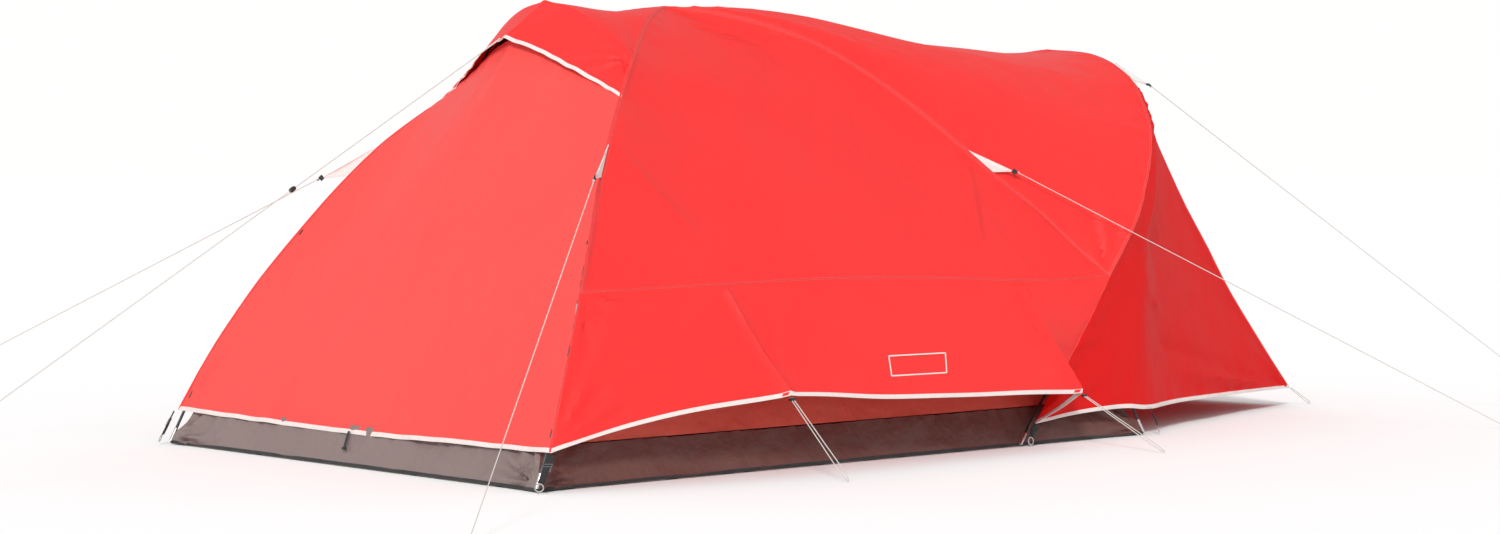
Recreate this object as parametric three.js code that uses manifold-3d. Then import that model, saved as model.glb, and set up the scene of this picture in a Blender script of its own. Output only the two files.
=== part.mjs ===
// Dome tent with a full fly, a hooped front vestibule and guyed side awnings.
// Millimetres. +X runs from the rear to the vestibule, +Y to the far side, +Z up.
// The origin is the centre of the floor's underside.
import * as THREE from 'three';
import { mergeVertices } from 'three/addons/utils/BufferGeometryUtils.js';
import Module from 'manifold-3d';

// ---------- driving dimensions ----------
const FLOOR_LENGTH = 2743;
const FLOOR_WIDTH = 2030;
const FLOOR_THICK = 2.5;
const TUB_HEIGHT = 127;
const TUB_LEAN = 50;
const RIDGE_HEIGHT = 1530;
const CLOTH = 2;
const SEAM_GAP = 0.25;
const MAIN_POLE_RADIUS = 4.75;
const BROW_POLE_RADIUS = 4.25;
const POLE_DROP = 18;
const HOOP_DROP = 19;
const POLE_END_GAP = 1;
const CROSSING_STEP = 11;
const INNER_DROP = 45;
const CORD_RADIUS = 1.6;
const DOOR_GAP = 4;
const INNER_DOOR_GAP = 12;
const TIP_CUT = 0.75;
const BROW_DROP = 12;
const REAR_SLACK = 0.55;
const SIDE_SLACK = 0.35;
const INNER_SLACK = 0.9;
const FRONT_SHARPNESS = 6;
const SLIDER_LIFT = { inner: 11, vestibule: 5 };
const VENT_DROP = { top: 24, low: 10 };
const REAR_CLIP_STEP = 5;
const FRONT_CLIP_STEP = 3;
const POLE_SHINE = 0.35;
const PLASTIC_SHINE = 0.4;
const NEAR = -1;
const FAR = 1;

const half = { x: FLOOR_LENGTH / 2, y: FLOOR_WIDTH / 2 };
const colours = {
  fly: 0xe8403a,
  rear: 0xf0564f,
  binding: 0xf0e9e0,
  tub: 0x77716d,
  strap: 0x1d1d1f,
  mesh: 0x17171a,
  inner: 0xb9b4ae,
  pole: 0x2a2a2c,
  plastic: 0x101012,
  cord: 0xf2f0ec,
};

// ---------- points and curves ----------
const at = (side, x, y, z) => new THREE.Vector3(x, side * y, z);
const points = (side, list) => list.map(([x, y, z]) => at(side, x, y, z));
const mix = (a, b, t) => a.clone().lerp(b, t);
const crest = () => new THREE.Vector3(0, 0, RIDGE_HEIGHT);

// Direction from a point of the canopy to the inside of the tent.
function inward(p) {
  const heart = new THREE.Vector3(p.x * 0.55, 0, Math.min(p.z, 300));
  return heart.sub(p).normalize();
}

function inset(p, distance) {
  return p.clone().addScaledVector(inward(p), distance);
}

// Crease of the fly over a rear pole leg, from the hem up to the crossing.
const rearRidge = (side) => [...points(side, [
  [-1345, 1045, 118], [-1288, 1012, 240], [-1230, 977, 355], [-1166, 935, 470], [-1105, 889, 577],
  [-1000, 808, 740], [-884, 712, 910], [-770, 623, 1050], [-655, 532, 1160], [-620, 502, 1190],
  [-505, 425, 1316], [-365, 300, 1401], [-250, 205, 1464], [-115, 95, 1512],
]), crest()];
const SIDE_SEAM_STEP = 4;
const SILL_STEP = 8;
const BRIM_STEP = 9;
const BROW_STEP = 10;

// Crease of the fly over a front pole leg, from the vestibule hoop up to the crossing.
const frontRidge = (side) => [...points(side, [
  [1247, 985, 575], [1175, 895, 672], [1085, 803, 795], [964, 713, 918], [847, 627, 1042],
  [731, 541, 1160], [587, 434, 1287], [440, 326, 1393], [300, 222, 1459], [150, 111, 1505],
]), crest()];
const POLE_JOINS_RIDGE = 4;

// Vestibule hoop, a plane leaning forward from mid-side, from the fly's low corner to the apex.
const hoop = (side) => points(side, [
  [798, 1033, 76], [901, 1025, 190], [1022, 1012, 325], [1139, 1000, 455], [1247, 985, 575],
  [1425, 961, 772], [1550, 903, 911], [1639, 848, 1010], [1746, 755, 1129], [1889, 555, 1288],
  [1930, 468, 1333], [1971, 354, 1379], [2001, 225, 1412], [2020, 0, 1434],
]);
const HOOP_CROSSES_RIDGE = 4;
const SHOULDER_STEP = 9;

const brow = (side) => points(side, [
  [-505, 425, 1316], [-520, 335, 1392], [-530, 235, 1456], [-540, 120, 1503], [-545, 0, 1521],
]);
const brim = (side) => points(side, [
  [-620, 502, 1190], [-628, 386, 1239], [-660, 267, 1297], [-692, 140, 1355], [-717, 0, 1399],
]);
const sill = (side) => points(side, [
  [-655, 532, 1160], [-642, 400, 1207], [-656, 267, 1264], [-684, 133, 1326], [-706, 0, 1368],
]);
const sideSeam = (side) => points(side, [
  [-1105, 889, 577], [-930, 915, 582], [-760, 928, 585], [-580, 937, 588], [-300, 948, 594],
  [50, 957, 594], [420, 965, 584], [770, 975, 567], [925, 980, 566], [1090, 983, 569],
  [1247, 985, 575],
]);
const skirtHem = (side) => points(side, [
  [-1345, 1045, 118], [-1138, 1090, 172], [-866, 1145, 219], [-520, 1200, 251], [-240, 1203, 232],
  [60, 1203, 215], [420, 1200, 204], [860, 1190, 187], [840, 1130, 140], [818, 1075, 104],
  [798, 1033, 76],
]);
const rearHem = points(NEAR, [
  [-1345, 1045, 118], [-1344, 784, 114], [-1342, 522, 110], [-1341, 261, 107], [-1340, 0, 105],
]);
const AWNING_REAR = 3;
const AWNING_FRONT = 7;
const vestibuleHem = (side) => points(side, [
  [798, 1033, 76], [1000, 1036, 96], [1265, 1036, 105], [1410, 1030, 94], [1590, 960, 92],
  [1757, 892, 91], [2040, 805, 87], [2313, 723, 83], [2580, 650, 78], [2838, 580, 72],
]);
const noseSeam = (side) => points(side, [
  [1889, 555, 1288], [1943, 556, 1237], [1984, 557, 1134], [2017, 558, 1069], [2076, 560, 980],
  [2189, 563, 821], [2322, 566, 657], [2450, 570, 490], [2632, 575, 289], [2838, 580, 72],
]);
const hoodLine = points(NEAR, [[-545, 0, 1521], [-400, 0, 1499], [-265, 0, 1490], [-125, 0, 1503]]);
const roofLine = points(NEAR, [
  [150, 0, 1508], [310, 0, 1487], [480, 0, 1466], [660, 0, 1450], [872, 0, 1436], [1110, 0, 1424],
  [1350, 0, 1416], [1590, 0, 1411], [1810, 0, 1418], [2020, 0, 1434],
]);

// Main pole leg under the front crease, which stands off it below the hoop.
const frontLeg = (side) => points(side, [
  [1386, 1026, 12], [1318, 975, 200], [1240, 915, 400], [1145, 845, 580], [1035, 762, 760],
  [932, 688, 905],
]);

// ---------- cloth ----------
// Surface that fills four edges; slack pulls its middle flat between the left and right edges,
// and a higher sharpness keeps the rise to those edges closer to them.
function fill(bottom, top, left, right, slack = 0, sharpness = 4) {
  const columns = bottom.length - 1;
  const rows = left.length - 1;
  const grid = [];
  for (let j = 0; j <= rows; j += 1) {
    const v = j / rows;
    const line = [];
    for (let i = 0; i <= columns; i += 1) {
      const u = i / columns;
      const p = mix(bottom[i], top[i], v).add(mix(left[j], right[j], u));
      p.sub(mix(mix(bottom[0], bottom[columns], u), mix(top[0], top[columns], u), v));
      const bow = mix(left[j].clone().sub(mix(left[0], left[rows], v)),
        right[j].clone().sub(mix(right[0], right[rows], v)), u);
      p.addScaledVector(bow, -slack * (1 - Math.abs(2 * u - 1) ** sharpness));
      line.push(p);
    }
    grid.push(line);
  }
  return grid;
}

const repeat = (p, count) => Array.from({ length: count }, () => p.clone());

// Cuts the pointed last row short, which leaves a small hole where several panels meet.
function cutTip(grid) {
  const last = grid.length - 1;
  grid[last] = grid[last].map((p, i) => mix(grid[last - 1][i], p, TIP_CUT));
  return grid;
}

// Joins a near grid and its far mirror image into one grid along the middle line.
function mirrorAcross(grid) {
  return grid.map((line) => {
    const other = line.slice(0, -1).reverse().map((p) => new THREE.Vector3(p.x, -p.y, p.z));
    return [...line, ...other];
  });
}

function towards(p, q, distance) {
  const step = q.clone().sub(p);
  const length = step.length();
  return length > 0 ? p.clone().addScaledVector(step, Math.min(distance / length, 0.4)) : p.clone();
}

function shrink(grid, distance) {
  const rows = grid.length - 1;
  const columns = grid[0].length - 1;
  const tall = grid.map((line, j) => line.map((p, i) => {
    if (j === 0) return towards(p, grid[1][i], distance);
    if (j === rows) return towards(p, grid[rows - 1][i], distance);
    return p.clone();
  }));
  return tall.map((line) => line.map((p, i) => {
    if (i === 0) return towards(p, line[1], distance);
    if (i === columns) return towards(p, line[columns - 1], distance);
    return p;
  }));
}

// Closed shell of cloth under a grid; open(j, i) leaves a cell out.
function cloth(grid, { thick = CLOTH, gap = SEAM_GAP, open = () => false } = {}) {
  const outer = shrink(grid, gap);
  const rows = grid.length - 1;
  const columns = grid[0].length - 1;
  const width = columns + 1;
  const layer = width * (rows + 1);
  const flat = outer.flat();
  const vertices = [...flat, ...flat.map((p) => inset(p, thick))];
  const isCell = (j, i) => j >= 0 && j < rows && i >= 0 && i < columns && !open(j, i);
  const faces = [];
  const quad = (a, b, c, d) => faces.push([a, b, c], [a, c, d]);
  for (let j = 0; j < rows; j += 1) {
    for (let i = 0; i < columns; i += 1) {
      if (!isCell(j, i)) continue;
      const a = j * width + i;
      const b = a + 1;
      const c = b + width;
      const d = a + width;
      quad(a, b, c, d);
      quad(a + layer, d + layer, c + layer, b + layer);
      const edges = [[j - 1, i, a, b], [j, i + 1, b, c], [j + 1, i, c, d], [j, i - 1, d, a]];
      for (const [nj, ni, p, q] of edges) {
        if (!isCell(nj, ni)) quad(q, p, p + layer, q + layer);
      }
    }
  }
  const across = flat[1].clone().sub(flat[0]);
  const up = flat[width].clone().sub(flat[0]);
  const facesOut = across.cross(up).dot(inward(flat[0])) < 0;
  const index = faces.flatMap(([a, b, c]) => (facesOut ? [a, b, c] : [a, c, b]));
  const geometry = new THREE.BufferGeometry();
  geometry.setAttribute('position', new THREE.Float32BufferAttribute(
    vertices.flatMap((p) => [p.x, p.y, p.z]), 3));
  geometry.setIndex(index);
  return geometry;
}

// ---------- tubes, bands and small hardware ----------
function polygon(radius, sides) {
  const shape = new THREE.Shape();
  for (let k = 0; k < sides; k += 1) {
    const a = (2 * Math.PI * k) / sides;
    if (k === 0) shape.moveTo(radius * Math.cos(a), radius * Math.sin(a));
    else shape.lineTo(radius * Math.cos(a), radius * Math.sin(a));
  }
  return shape;
}

function tube(path, radius, steps, sides = 8) {
  const curve = path.length === 2 ? new THREE.LineCurve3(path[0], path[1])
    : new THREE.CatmullRomCurve3(path, false, 'centripetal');
  return new THREE.ExtrudeGeometry(polygon(radius, sides), { steps, extrudePath: curve });
}

// Moves a geometry drawn in local axes so that its z runs along axis and its x is across.
function place(geometry, origin, axis, across) {
  const z = axis.clone().normalize();
  const x = across.clone().addScaledVector(z, -across.dot(z)).normalize();
  const y = z.clone().cross(x);
  return geometry.applyMatrix4(new THREE.Matrix4().makeBasis(x, y, z).setPosition(origin));
}

const wasm = await Module();
wasm.setup();

function solid(geometry) {
  const bare = geometry.clone();
  bare.deleteAttribute('normal');
  bare.deleteAttribute('uv');
  const merged = mergeVertices(bare, 1e-3);
  const triVerts = merged.index ? Uint32Array.from(merged.index.array)
    : Uint32Array.from({ length: merged.attributes.position.count }, (_, k) => k);
  return new wasm.Manifold(new wasm.Mesh({
    numProp: 3, vertProperties: Float32Array.from(merged.attributes.position.array), triVerts,
  }));
}

function join(...geometries) {
  const whole = geometries.map(solid).reduce((a, b) => a.add(b));
  const mesh = whole.getMesh();
  const geometry = new THREE.BufferGeometry();
  geometry.setAttribute('position', new THREE.BufferAttribute(mesh.vertProperties, 3));
  geometry.setIndex(new THREE.BufferAttribute(mesh.triVerts, 1));
  return geometry;
}

function band(from, to, width, thick, across) {
  const length = from.distanceTo(to);
  const strap = new THREE.BoxGeometry(width, thick, length);
  return place(strap, mix(from, to, 0.5), to.clone().sub(from), across);
}

// Webbing from the fly's corner to a ring on the ground, with a ladder-lock buckle on it.
function tether(top, ring, across) {
  const WEBBING = { width: 20, thick: 1.6 };
  const BUCKLE = { width: 30, depth: 5, length: 26 };
  const RING = { radius: 14, wire: 2.2 };
  const strap = band(top, ring, WEBBING.width, WEBBING.thick, across);
  const low = mix(top, ring, 0.42);
  const high = low.clone().addScaledVector(top.clone().sub(ring).normalize(), BUCKLE.length);
  const buckle = band(low, high, BUCKLE.width, BUCKLE.depth, across);
  const loop = new THREE.TorusGeometry(RING.radius, RING.wire, 5, 12);
  const along = ring.clone().sub(top).normalize();
  const centre = ring.clone().addScaledVector(along, RING.radius - 1);
  place(loop, centre, along.clone().cross(across), across);
  return join(strap, buckle, loop);
}

// Folded triangle of binding cloth that stands out from a crease, with a slotted buckle at its tip.
const FLAP_LIFT = 4;
const FLAP_BUCKLE = { length: 20, width: 15, thick: 6 };

function guyFlap(top, low, tip) {
  const FLAP_THICK = 2.4;
  const across = low.clone().sub(top).cross(tip.clone().sub(top)).normalize();
  const lift = across.clone().multiplyScalar(FLAP_THICK / 2);
  const outline = [top, low, tip];
  const ring = [...outline.map((p) => p.clone().add(lift)), ...outline.map((p) => p.clone().sub(lift))];
  const geometry = new THREE.BufferGeometry();
  geometry.setAttribute('position', new THREE.Float32BufferAttribute(
    ring.flatMap((p) => [p.x, p.y, p.z]), 3));
  geometry.setIndex([0, 1, 2, 5, 4, 3, 0, 3, 4, 0, 4, 1, 1, 4, 5, 1, 5, 2, 2, 5, 3, 2, 3, 0]);
  const out = tip.clone().sub(mix(top, low, 0.5)).normalize();
  const from = tip.clone().addScaledVector(out, -FLAP_BUCKLE.length / 2);
  const to = tip.clone().addScaledVector(out, FLAP_BUCKLE.length / 2);
  const buckle = band(from, to, FLAP_BUCKLE.width, FLAP_BUCKLE.thick, low.clone().sub(top));
  return join(geometry, buckle);
}

// Open plastic hook round a pole, with a tail towards the inner tent.
function poleClip(centre, tangent) {
  const CLIP = { length: 22, wall: 2.5, clearance: 1.2, mouth: 0.7, tail: 14 };
  const inner = MAIN_POLE_RADIUS + CLIP.clearance;
  const outer = inner + CLIP.wall;
  const shape = new THREE.Shape();
  shape.absarc(0, 0, outer, CLIP.mouth, 2 * Math.PI - CLIP.mouth, false);
  shape.absarc(0, 0, inner, 2 * Math.PI - CLIP.mouth, CLIP.mouth, true);
  shape.closePath();
  const hook = new THREE.ExtrudeGeometry(shape, {
    depth: CLIP.length, bevelEnabled: false, curveSegments: 6,
  });
  hook.translate(0, 0, -CLIP.length / 2);
  const tail = new THREE.BoxGeometry(CLIP.tail, 3, CLIP.length * 0.7);
  tail.translate(-outer - CLIP.tail / 2 + 1, 0, 0);
  return place(join(hook, tail), centre, tangent, inward(centre).negate());
}

// Slider of a zip with its pull hanging below, at a fraction of the way up the zip.
function zipSlider([low, high], fraction, outwards, lift) {
  const body = new THREE.BoxGeometry(7, 4, 14);
  const pull = new THREE.BoxGeometry(5.6, 1.6, 30);
  pull.translate(0, 1.5, -17);
  const along = high.clone().sub(low).normalize();
  const spot = mix(low, high, fraction).addScaledVector(outwards, lift);
  return place(join(body, pull), spot, along, outwards.clone().cross(along));
}

// ---------- the assembly ----------
const tent = new THREE.Group();

function add(name, geometry, colour, roughness = 0.8, metalness = 0) {
  const material = new THREE.MeshStandardMaterial({ color: colour, roughness, metalness });
  const mesh = new THREE.Mesh(geometry, material);
  mesh.name = name;
  tent.add(mesh);
  return mesh;
}

const sides = [['near', NEAR], ['far', FAR]];

// Floor and the four walls of the tub.
function addTub() {
  const floor = new THREE.BoxGeometry(FLOOR_LENGTH, FLOOR_WIDTH, FLOOR_THICK);
  add('tub_floor', floor, colours.tub).position.z = FLOOR_THICK / 2;
  const base = FLOOR_THICK + SEAM_GAP;
  const low = (sx, sy) => new THREE.Vector3(sx * half.x, sy * half.y, base);
  const high = (sx, sy) => new THREE.Vector3(
    sx * (half.x - TUB_LEAN), sy * (half.y - TUB_LEAN), TUB_HEIGHT);
  const wall = (name, [ax, ay], [bx, by]) => add(name,
    cloth([[low(ax, ay), low(bx, by)], [high(ax, ay), high(bx, by)]]), colours.tub);
  wall('tub_wall_near', [-1, NEAR], [1, NEAR]);
  wall('tub_wall_far', [-1, FAR], [1, FAR]);
  wall('tub_wall_rear', [-1, NEAR], [-1, FAR]);
  wall('tub_wall_front', [1, NEAR], [1, FAR]);
}

// Inner tent: four sloping walls under the poles, with a hinged door in the front one.
const INNER_DOOR = { firstColumn: 2, lastColumn: 7, rows: 6 };

function innerCorner(side, end) {
  const STEP_IN = TUB_LEAN + 5;
  return at(side, end * (half.x - STEP_IN), half.y - STEP_IN, TUB_HEIGHT + 3);
}

function innerRear(side) {
  const ridge = rearRidge(side);
  const steps = [2, 4, 5, 6, 7, 8, 10, 11, 12, 14];
  return [innerCorner(side, -1), ...steps.map((k) => inset(ridge[k], INNER_DROP))];
}

function innerFront(side) {
  const low = points(side, [[1272, 932, 260], [1178, 862, 460], [1060, 772, 655], [955, 696, 815]]);
  const ridge = frontRidge(side);
  const steps = [4, 5, 6, 7, 8, 10];
  return [innerCorner(side, 1), ...low, ...steps.map((k) => inset(ridge[k], INNER_DROP))];
}

function straight(from, to, count) {
  return Array.from({ length: count + 1 }, (_, k) => mix(from, to, k / count));
}

function innerWall(left, right, slack = INNER_SLACK, sharpness = 4) {
  const COLUMNS = 9;
  const foot = straight(left[0], right[0], COLUMNS);
  const tip = repeat(left[left.length - 1], COLUMNS + 1);
  return cutTip(fill(foot, tip, left, right, slack, sharpness));
}

// Outward unit normal of a grid at a cell corner.
function outwardNormal(grid, j, i) {
  const across = grid[j][i + 1].clone().sub(grid[j][i]);
  const up = grid[j + 1][i].clone().sub(grid[j][i]);
  const normal = across.cross(up).normalize();
  return normal.dot(inward(grid[j][i])) > 0 ? normal.negate() : normal;
}

const cut = (grid, rows, first, last) => grid.slice(rows[0], rows[1] + 1)
  .map((line) => line.slice(first, last + 1));

function addInner() {
  add('inner_wall_rear', cloth(innerWall(innerRear(NEAR), innerRear(FAR))), colours.inner);
  add('inner_wall_near', cloth(innerWall(innerRear(NEAR), innerFront(NEAR))), colours.inner);
  add('inner_wall_far', cloth(innerWall(innerRear(FAR), innerFront(FAR))), colours.inner);
  const front = innerWall(innerFront(NEAR), innerFront(FAR), 1, FRONT_SHARPNESS);
  const { firstColumn, lastColumn, rows } = INNER_DOOR;
  const open = (j, i) => j < rows && i >= firstColumn && i < lastColumn;
  add('inner_wall_front', cloth(front, { open }), colours.inner);
  const leaf = cut(front, [0, rows], firstColumn, lastColumn);
  add('inner_door', cloth(leaf, { gap: INNER_DOOR_GAP }), colours.mesh);
  const zip = [front[0][firstColumn], front[rows][firstColumn]];
  const out = outwardNormal(front, 0, firstColumn);
  add('inner_door_slider', zipSlider(zip, 0.08, out, SLIDER_LIFT.inner), colours.plastic, PLASTIC_SHINE);
}

// Poles. Pole a lies over pole b where they cross.
function mainPole(side, foot, crossing) {
  const STEPS = 20;
  const under = (ridge, first) => ridge.slice(first, -1).map((p) => inset(p, POLE_DROP));
  const leg = foot === 'rear' ? [at(side, -1386, 1026, 12), ...under(rearRidge(side), 1)]
    : [...frontLeg(side), ...under(frontRidge(side), POLE_JOINS_RIDGE)];
  const last = leg[leg.length - 1];
  const end = towards(crossing, last, POLE_END_GAP);
  return tube([...leg, end], MAIN_POLE_RADIUS, STEPS);
}

function addPoles() {
  const overTop = new THREE.Vector3(0, 0, RIDGE_HEIGHT - POLE_DROP);
  const underTop = new THREE.Vector3(0, 0, RIDGE_HEIGHT - POLE_DROP - CROSSING_STEP);
  const pole = (name, side, foot, top) => add(name, mainPole(side, foot, top), colours.pole, POLE_SHINE);
  pole('main_pole_a_rear', NEAR, 'rear', overTop);
  pole('main_pole_a_front', FAR, 'front', overTop);
  pole('main_pole_b_rear', FAR, 'rear', underTop);
  pole('main_pole_b_front', NEAR, 'front', underTop);

  const mirrored = (line) => [...line, ...line.slice(0, -1).reverse().map((p) => at(-1, p.x, p.y, p.z))];
  const arch = brow(NEAR).map((p) => inset(p, BROW_DROP));
  arch[0] = mix(arch[0], arch[1], 0.3);
  add('brow_pole', tube(mirrored(arch), BROW_POLE_RADIUS, 20), colours.pole, POLE_SHINE);
  const bow = [at(NEAR, 730, 1029, 8), ...hoop(NEAR).map((p) => inset(p, HOOP_DROP))];
  add('vestibule_pole', tube(mirrored(bow), MAIN_POLE_RADIUS, 40), colours.pole, POLE_SHINE);

  for (const [label, side] of sides) {
    const legs = {
      rear: [rearRidge(side).map((p) => inset(p, POLE_DROP)), REAR_CLIP_STEP],
      front: [frontLeg(side), FRONT_CLIP_STEP],
    };
    for (const [foot, [leg, k]] of Object.entries(legs)) {
      const tangent = leg[k + 1].clone().sub(leg[k - 1]);
      add(`pole_clip_${foot}_${label}`, poleClip(leg[k], tangent), colours.plastic, PLASTIC_SHINE);
    }
  }
}

// Fly panels, sewn along the creases.
function addFly() {
  const rearEdges = [rearRidge(NEAR).slice(0, SILL_STEP + 1), rearRidge(FAR).slice(0, SILL_STEP + 1)];
  const [hem, top] = mirrorAcross([rearHem, sill(NEAR)]);
  add('fly_rear', cloth(fill(hem, top, ...rearEdges, REAR_SLACK)), colours.rear);

  const brimRows = [brim(NEAR), brim(NEAR).map((p, i) => mix(p, brow(NEAR)[i], 0.5))];
  const crown = fill(brow(NEAR), repeat(crest(), 5), rearRidge(NEAR).slice(BROW_STEP),
    [...hoodLine, crest()]);
  add('fly_hood', cloth(mirrorAcross(cutTip([...brimRows, ...crown]))), colours.fly);

  const ventTop = brow(NEAR).slice(1).map((p) => inset(p, VENT_DROP.top));
  const ventLow = sill(NEAR).slice(1).map((p) => inset(p, VENT_DROP.low));
  add('fly_vent_mesh', cloth(mirrorAcross([ventLow, ventTop])), colours.mesh);

  for (const [label, side] of sides) {
    const seam = sideSeam(side);
    const rear = rearRidge(side).slice(SIDE_SEAM_STEP);
    const wall = fill(seam, repeat(crest(), seam.length), rear, frontRidge(side), SIDE_SLACK);
    add(`fly_side_${label}`, cloth(cutTip(wall)), colours.fly);
    add(`fly_skirt_${label}`, cloth(skirtGrid(side)), colours.fly);
    const rise = noseSeam(side).reverse();
    const foot = vestibuleHem(side);
    const flank = fill(foot, repeat(rise[rise.length - 1], foot.length),
      hoop(side).slice(0, SHOULDER_STEP + 1), rise);
    add(`vestibule_side_${label}`, cloth(cutTip(flank)), colours.fly);
  }

  const arc = hoop(NEAR).slice(HOOP_CROSSES_RIDGE);
  const roof = fill(arc, repeat(crest(), arc.length), frontRidge(NEAR),
    [...roofLine].reverse().concat([crest()]));
  add('fly_roof', cloth(mirrorAcross(cutTip(roof))), colours.fly);
}

// Lower side of the fly: a corner gusset, the awning held out by two lines, and the hoop's gusset.
function skirtGrid(side) {
  const seam = sideSeam(side);
  const hem = skirtHem(side);
  const rear = rearRidge(side).slice(0, SIDE_SEAM_STEP + 1);
  const front = hoop(side).slice(0, HOOP_CROSSES_RIDGE + 1);
  const rows = rear.length - 1;
  const post = (k) => straight(hem[k], seam[k], rows);
  const part = (a, b, left, right) => fill(hem.slice(a, b + 1), seam.slice(a, b + 1), left, right);
  const pieces = [
    part(0, AWNING_REAR, rear, post(AWNING_REAR)),
    part(AWNING_REAR, AWNING_FRONT, post(AWNING_REAR), post(AWNING_FRONT)),
    part(AWNING_FRONT, hem.length - 1, post(AWNING_FRONT), front),
  ];
  return pieces[0].map((line, j) => [...line, ...pieces[1][j].slice(1), ...pieces[2][j].slice(1)]);
}

// Vestibule front between the two nose seams, straight from the hoop to the ground except at its edges.
const DOOR = { firstColumn: 2, lastColumn: 6, firstRow: 1 };

function frontGrid() {
  const top = mirrorAcross([hoop(NEAR).slice(SHOULDER_STEP)])[0];
  const seam = noseSeam(NEAR);
  const columns = top.length - 1;
  const start = seam[0];
  const chord = seam[seam.length - 1].clone().sub(start);
  return seam.map((p) => {
    const f = p.clone().sub(start).dot(chord) / chord.lengthSq();
    const dip = p.clone().sub(start).addScaledVector(chord, -f);
    return top.map((t, i) => {
      const u = (2 * i) / columns - 1;
      const foot = new THREE.Vector3(2800 + 38 * u * u, 580 * u, 66 + 6 * u * u);
      return mix(t, foot, f).addScaledVector(new THREE.Vector3(dip.x, -u * dip.y, dip.z), u ** 4);
    });
  });
}

function addVestibuleFront() {
  const grid = frontGrid();
  const rows = grid.length - 1;
  const { firstColumn, lastColumn, firstRow } = DOOR;
  const open = (j, i) => j >= firstRow && i >= firstColumn && i < lastColumn;
  add('vestibule_front', cloth(grid, { open }), colours.fly);
  const leaf = cut(grid, [firstRow, rows], firstColumn, lastColumn);
  add('vestibule_door', cloth(leaf, { gap: DOOR_GAP }), colours.fly);
  const zip = [grid[rows][firstColumn], grid[firstRow][firstColumn]];
  const out = outwardNormal(grid, rows - 1, firstColumn);
  add('vestibule_zip_slider', zipSlider(zip, 0.05, out, SLIDER_LIFT.vestibule), colours.plastic, PLASTIC_SHINE);
}

// Webbing at the four corners and at the feet of the vestibule pole.
function addTethers() {
  for (const [label, side] of sides) {
    const across = new THREE.Vector3(1, side, 0).normalize();
    const other = new THREE.Vector3(1, -side, 0).normalize();
    add(`corner_tether_rear_${label}`, tether(
      at(side, -1353, 1056, 112), at(side, -1398, 1062, 31), across), colours.strap);
    add(`corner_tether_front_${label}`, tether(
      at(side, 1412, 1040, 96), at(side, 1437, 1050, 31), other), colours.strap);
    add(`side_tether_${label}`, tether(
      at(side, 790, 1046, 76), at(side, 764, 1050, 31), new THREE.Vector3(1, 0, 0)), colours.strap);
  }
}

// Guy-outs: the top and low ends of a flap on the crease, its tip, and the ground point of its line.
const GUYS = {
  rear: {
    top: [-786, 637, 1032],
    low: [-872, 703, 928],
    tip: [-938, 754, 926],
    ground: { near: [-2240, 1830, 2], far: [-2300, 1890, 2] },
  },
  front: {
    top: [868, 643, 1022],
    low: [942, 697, 943],
    tip: [1006, 744, 948],
    ground: { near: [2580, 1770, 2], far: [2580, 1770, 2] },
  },
  shoulder: {
    top: [1960, 394, 1368],
    low: [1896, 552, 1290],
    tip: [1930, 590, 1280],
    ground: { near: [3470, 1470, 2], far: [3470, 1470, 2] },
  },
};
const BRIM_GUY = { top: [-722, 0, 1396], ground: [-3030, 0, 2], slider: 0.36, start: 6 };
const straightCord = (from, to) => tube([from, to], CORD_RADIUS, 4);

function addGuys() {
  for (const [name, guy] of Object.entries(GUYS)) {
    for (const [label, side] of sides) {
      const [top, low, tip] = points(side, [guy.top, guy.low, guy.tip]);
      const lift = inward(low).multiplyScalar(-FLAP_LIFT);
      const flap = guyFlap(top.add(lift), low.add(lift), tip);
      add(`guy_flap_${name}_${label}`, flap, colours.binding);
      const end = at(side, ...guy.ground[label]);
      const out = tip.clone().sub(mix(top, low, 0.5)).normalize();
      const start = tip.clone().addScaledVector(out, FLAP_BUCKLE.length / 2 + CORD_RADIUS + SEAM_GAP);
      add(`guy_${name}_${label}`, straightCord(start, end), colours.cord);
    }
  }
  const top = at(FAR, ...BRIM_GUY.top);
  const end = at(FAR, ...BRIM_GUY.ground);
  const along = end.clone().sub(top).normalize();
  top.addScaledVector(along, BRIM_GUY.start);
  add('guy_brim', straightCord(top, end), colours.cord);
  const spot = mix(top, end, BRIM_GUY.slider);
  const slider = new THREE.TorusGeometry(CORD_RADIUS + 3.6, 2.8, 8, 14);
  slider.scale(1, 1, 4.2);
  place(slider, spot, along, new THREE.Vector3(0, 1, 0));
  add('guy_tensioner', slider, colours.plastic, PLASTIC_SHINE);
}

// Doubled line from a hem point round a ground point and back.
function loopLine(a, g, spread) {
  const across = new THREE.Vector3(1, 0, 0);
  const down = g.clone().sub(a).normalize();
  const left = across.clone().multiplyScalar(-spread);
  const right = across.clone().multiplyScalar(spread);
  return [
    a.clone().addScaledVector(across, -spread * 0.6), mix(a, g, 0.5).add(left), mix(a, g, 0.93).add(left),
    g.clone().addScaledVector(down, -1), mix(a, g, 0.93).add(right), mix(a, g, 0.5).add(right),
    a.clone().addScaledVector(across, spread * 0.6),
  ];
}

function addLowLines() {
  for (const [label, side] of sides) {
    const lines = {
      awning_line_rear: [[-520, 1204, 246], [-498, 1436, 3]],
      awning_line_front: [[862, 1195, 183], [923, 1508, 3]],
      nose_line: [[2843, 583, 70], [2950, 600, 3]],
    };
    for (const [name, [top, ground]] of Object.entries(lines)) {
      const path = loopLine(at(side, ...top), at(side, ...ground), 8);
      add(`${name}_${label}`, tube(path, CORD_RADIUS, 14), colours.cord);
    }
  }
}

addTub();
addInner();
addPoles();
addFly();
addVestibuleFront();
addTethers();
addGuys();
addLowLines();

export default tent;
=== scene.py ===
"""Looks of a dome tent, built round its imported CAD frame. Metres, +X to the vestibule, +Z up."""
import math

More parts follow.
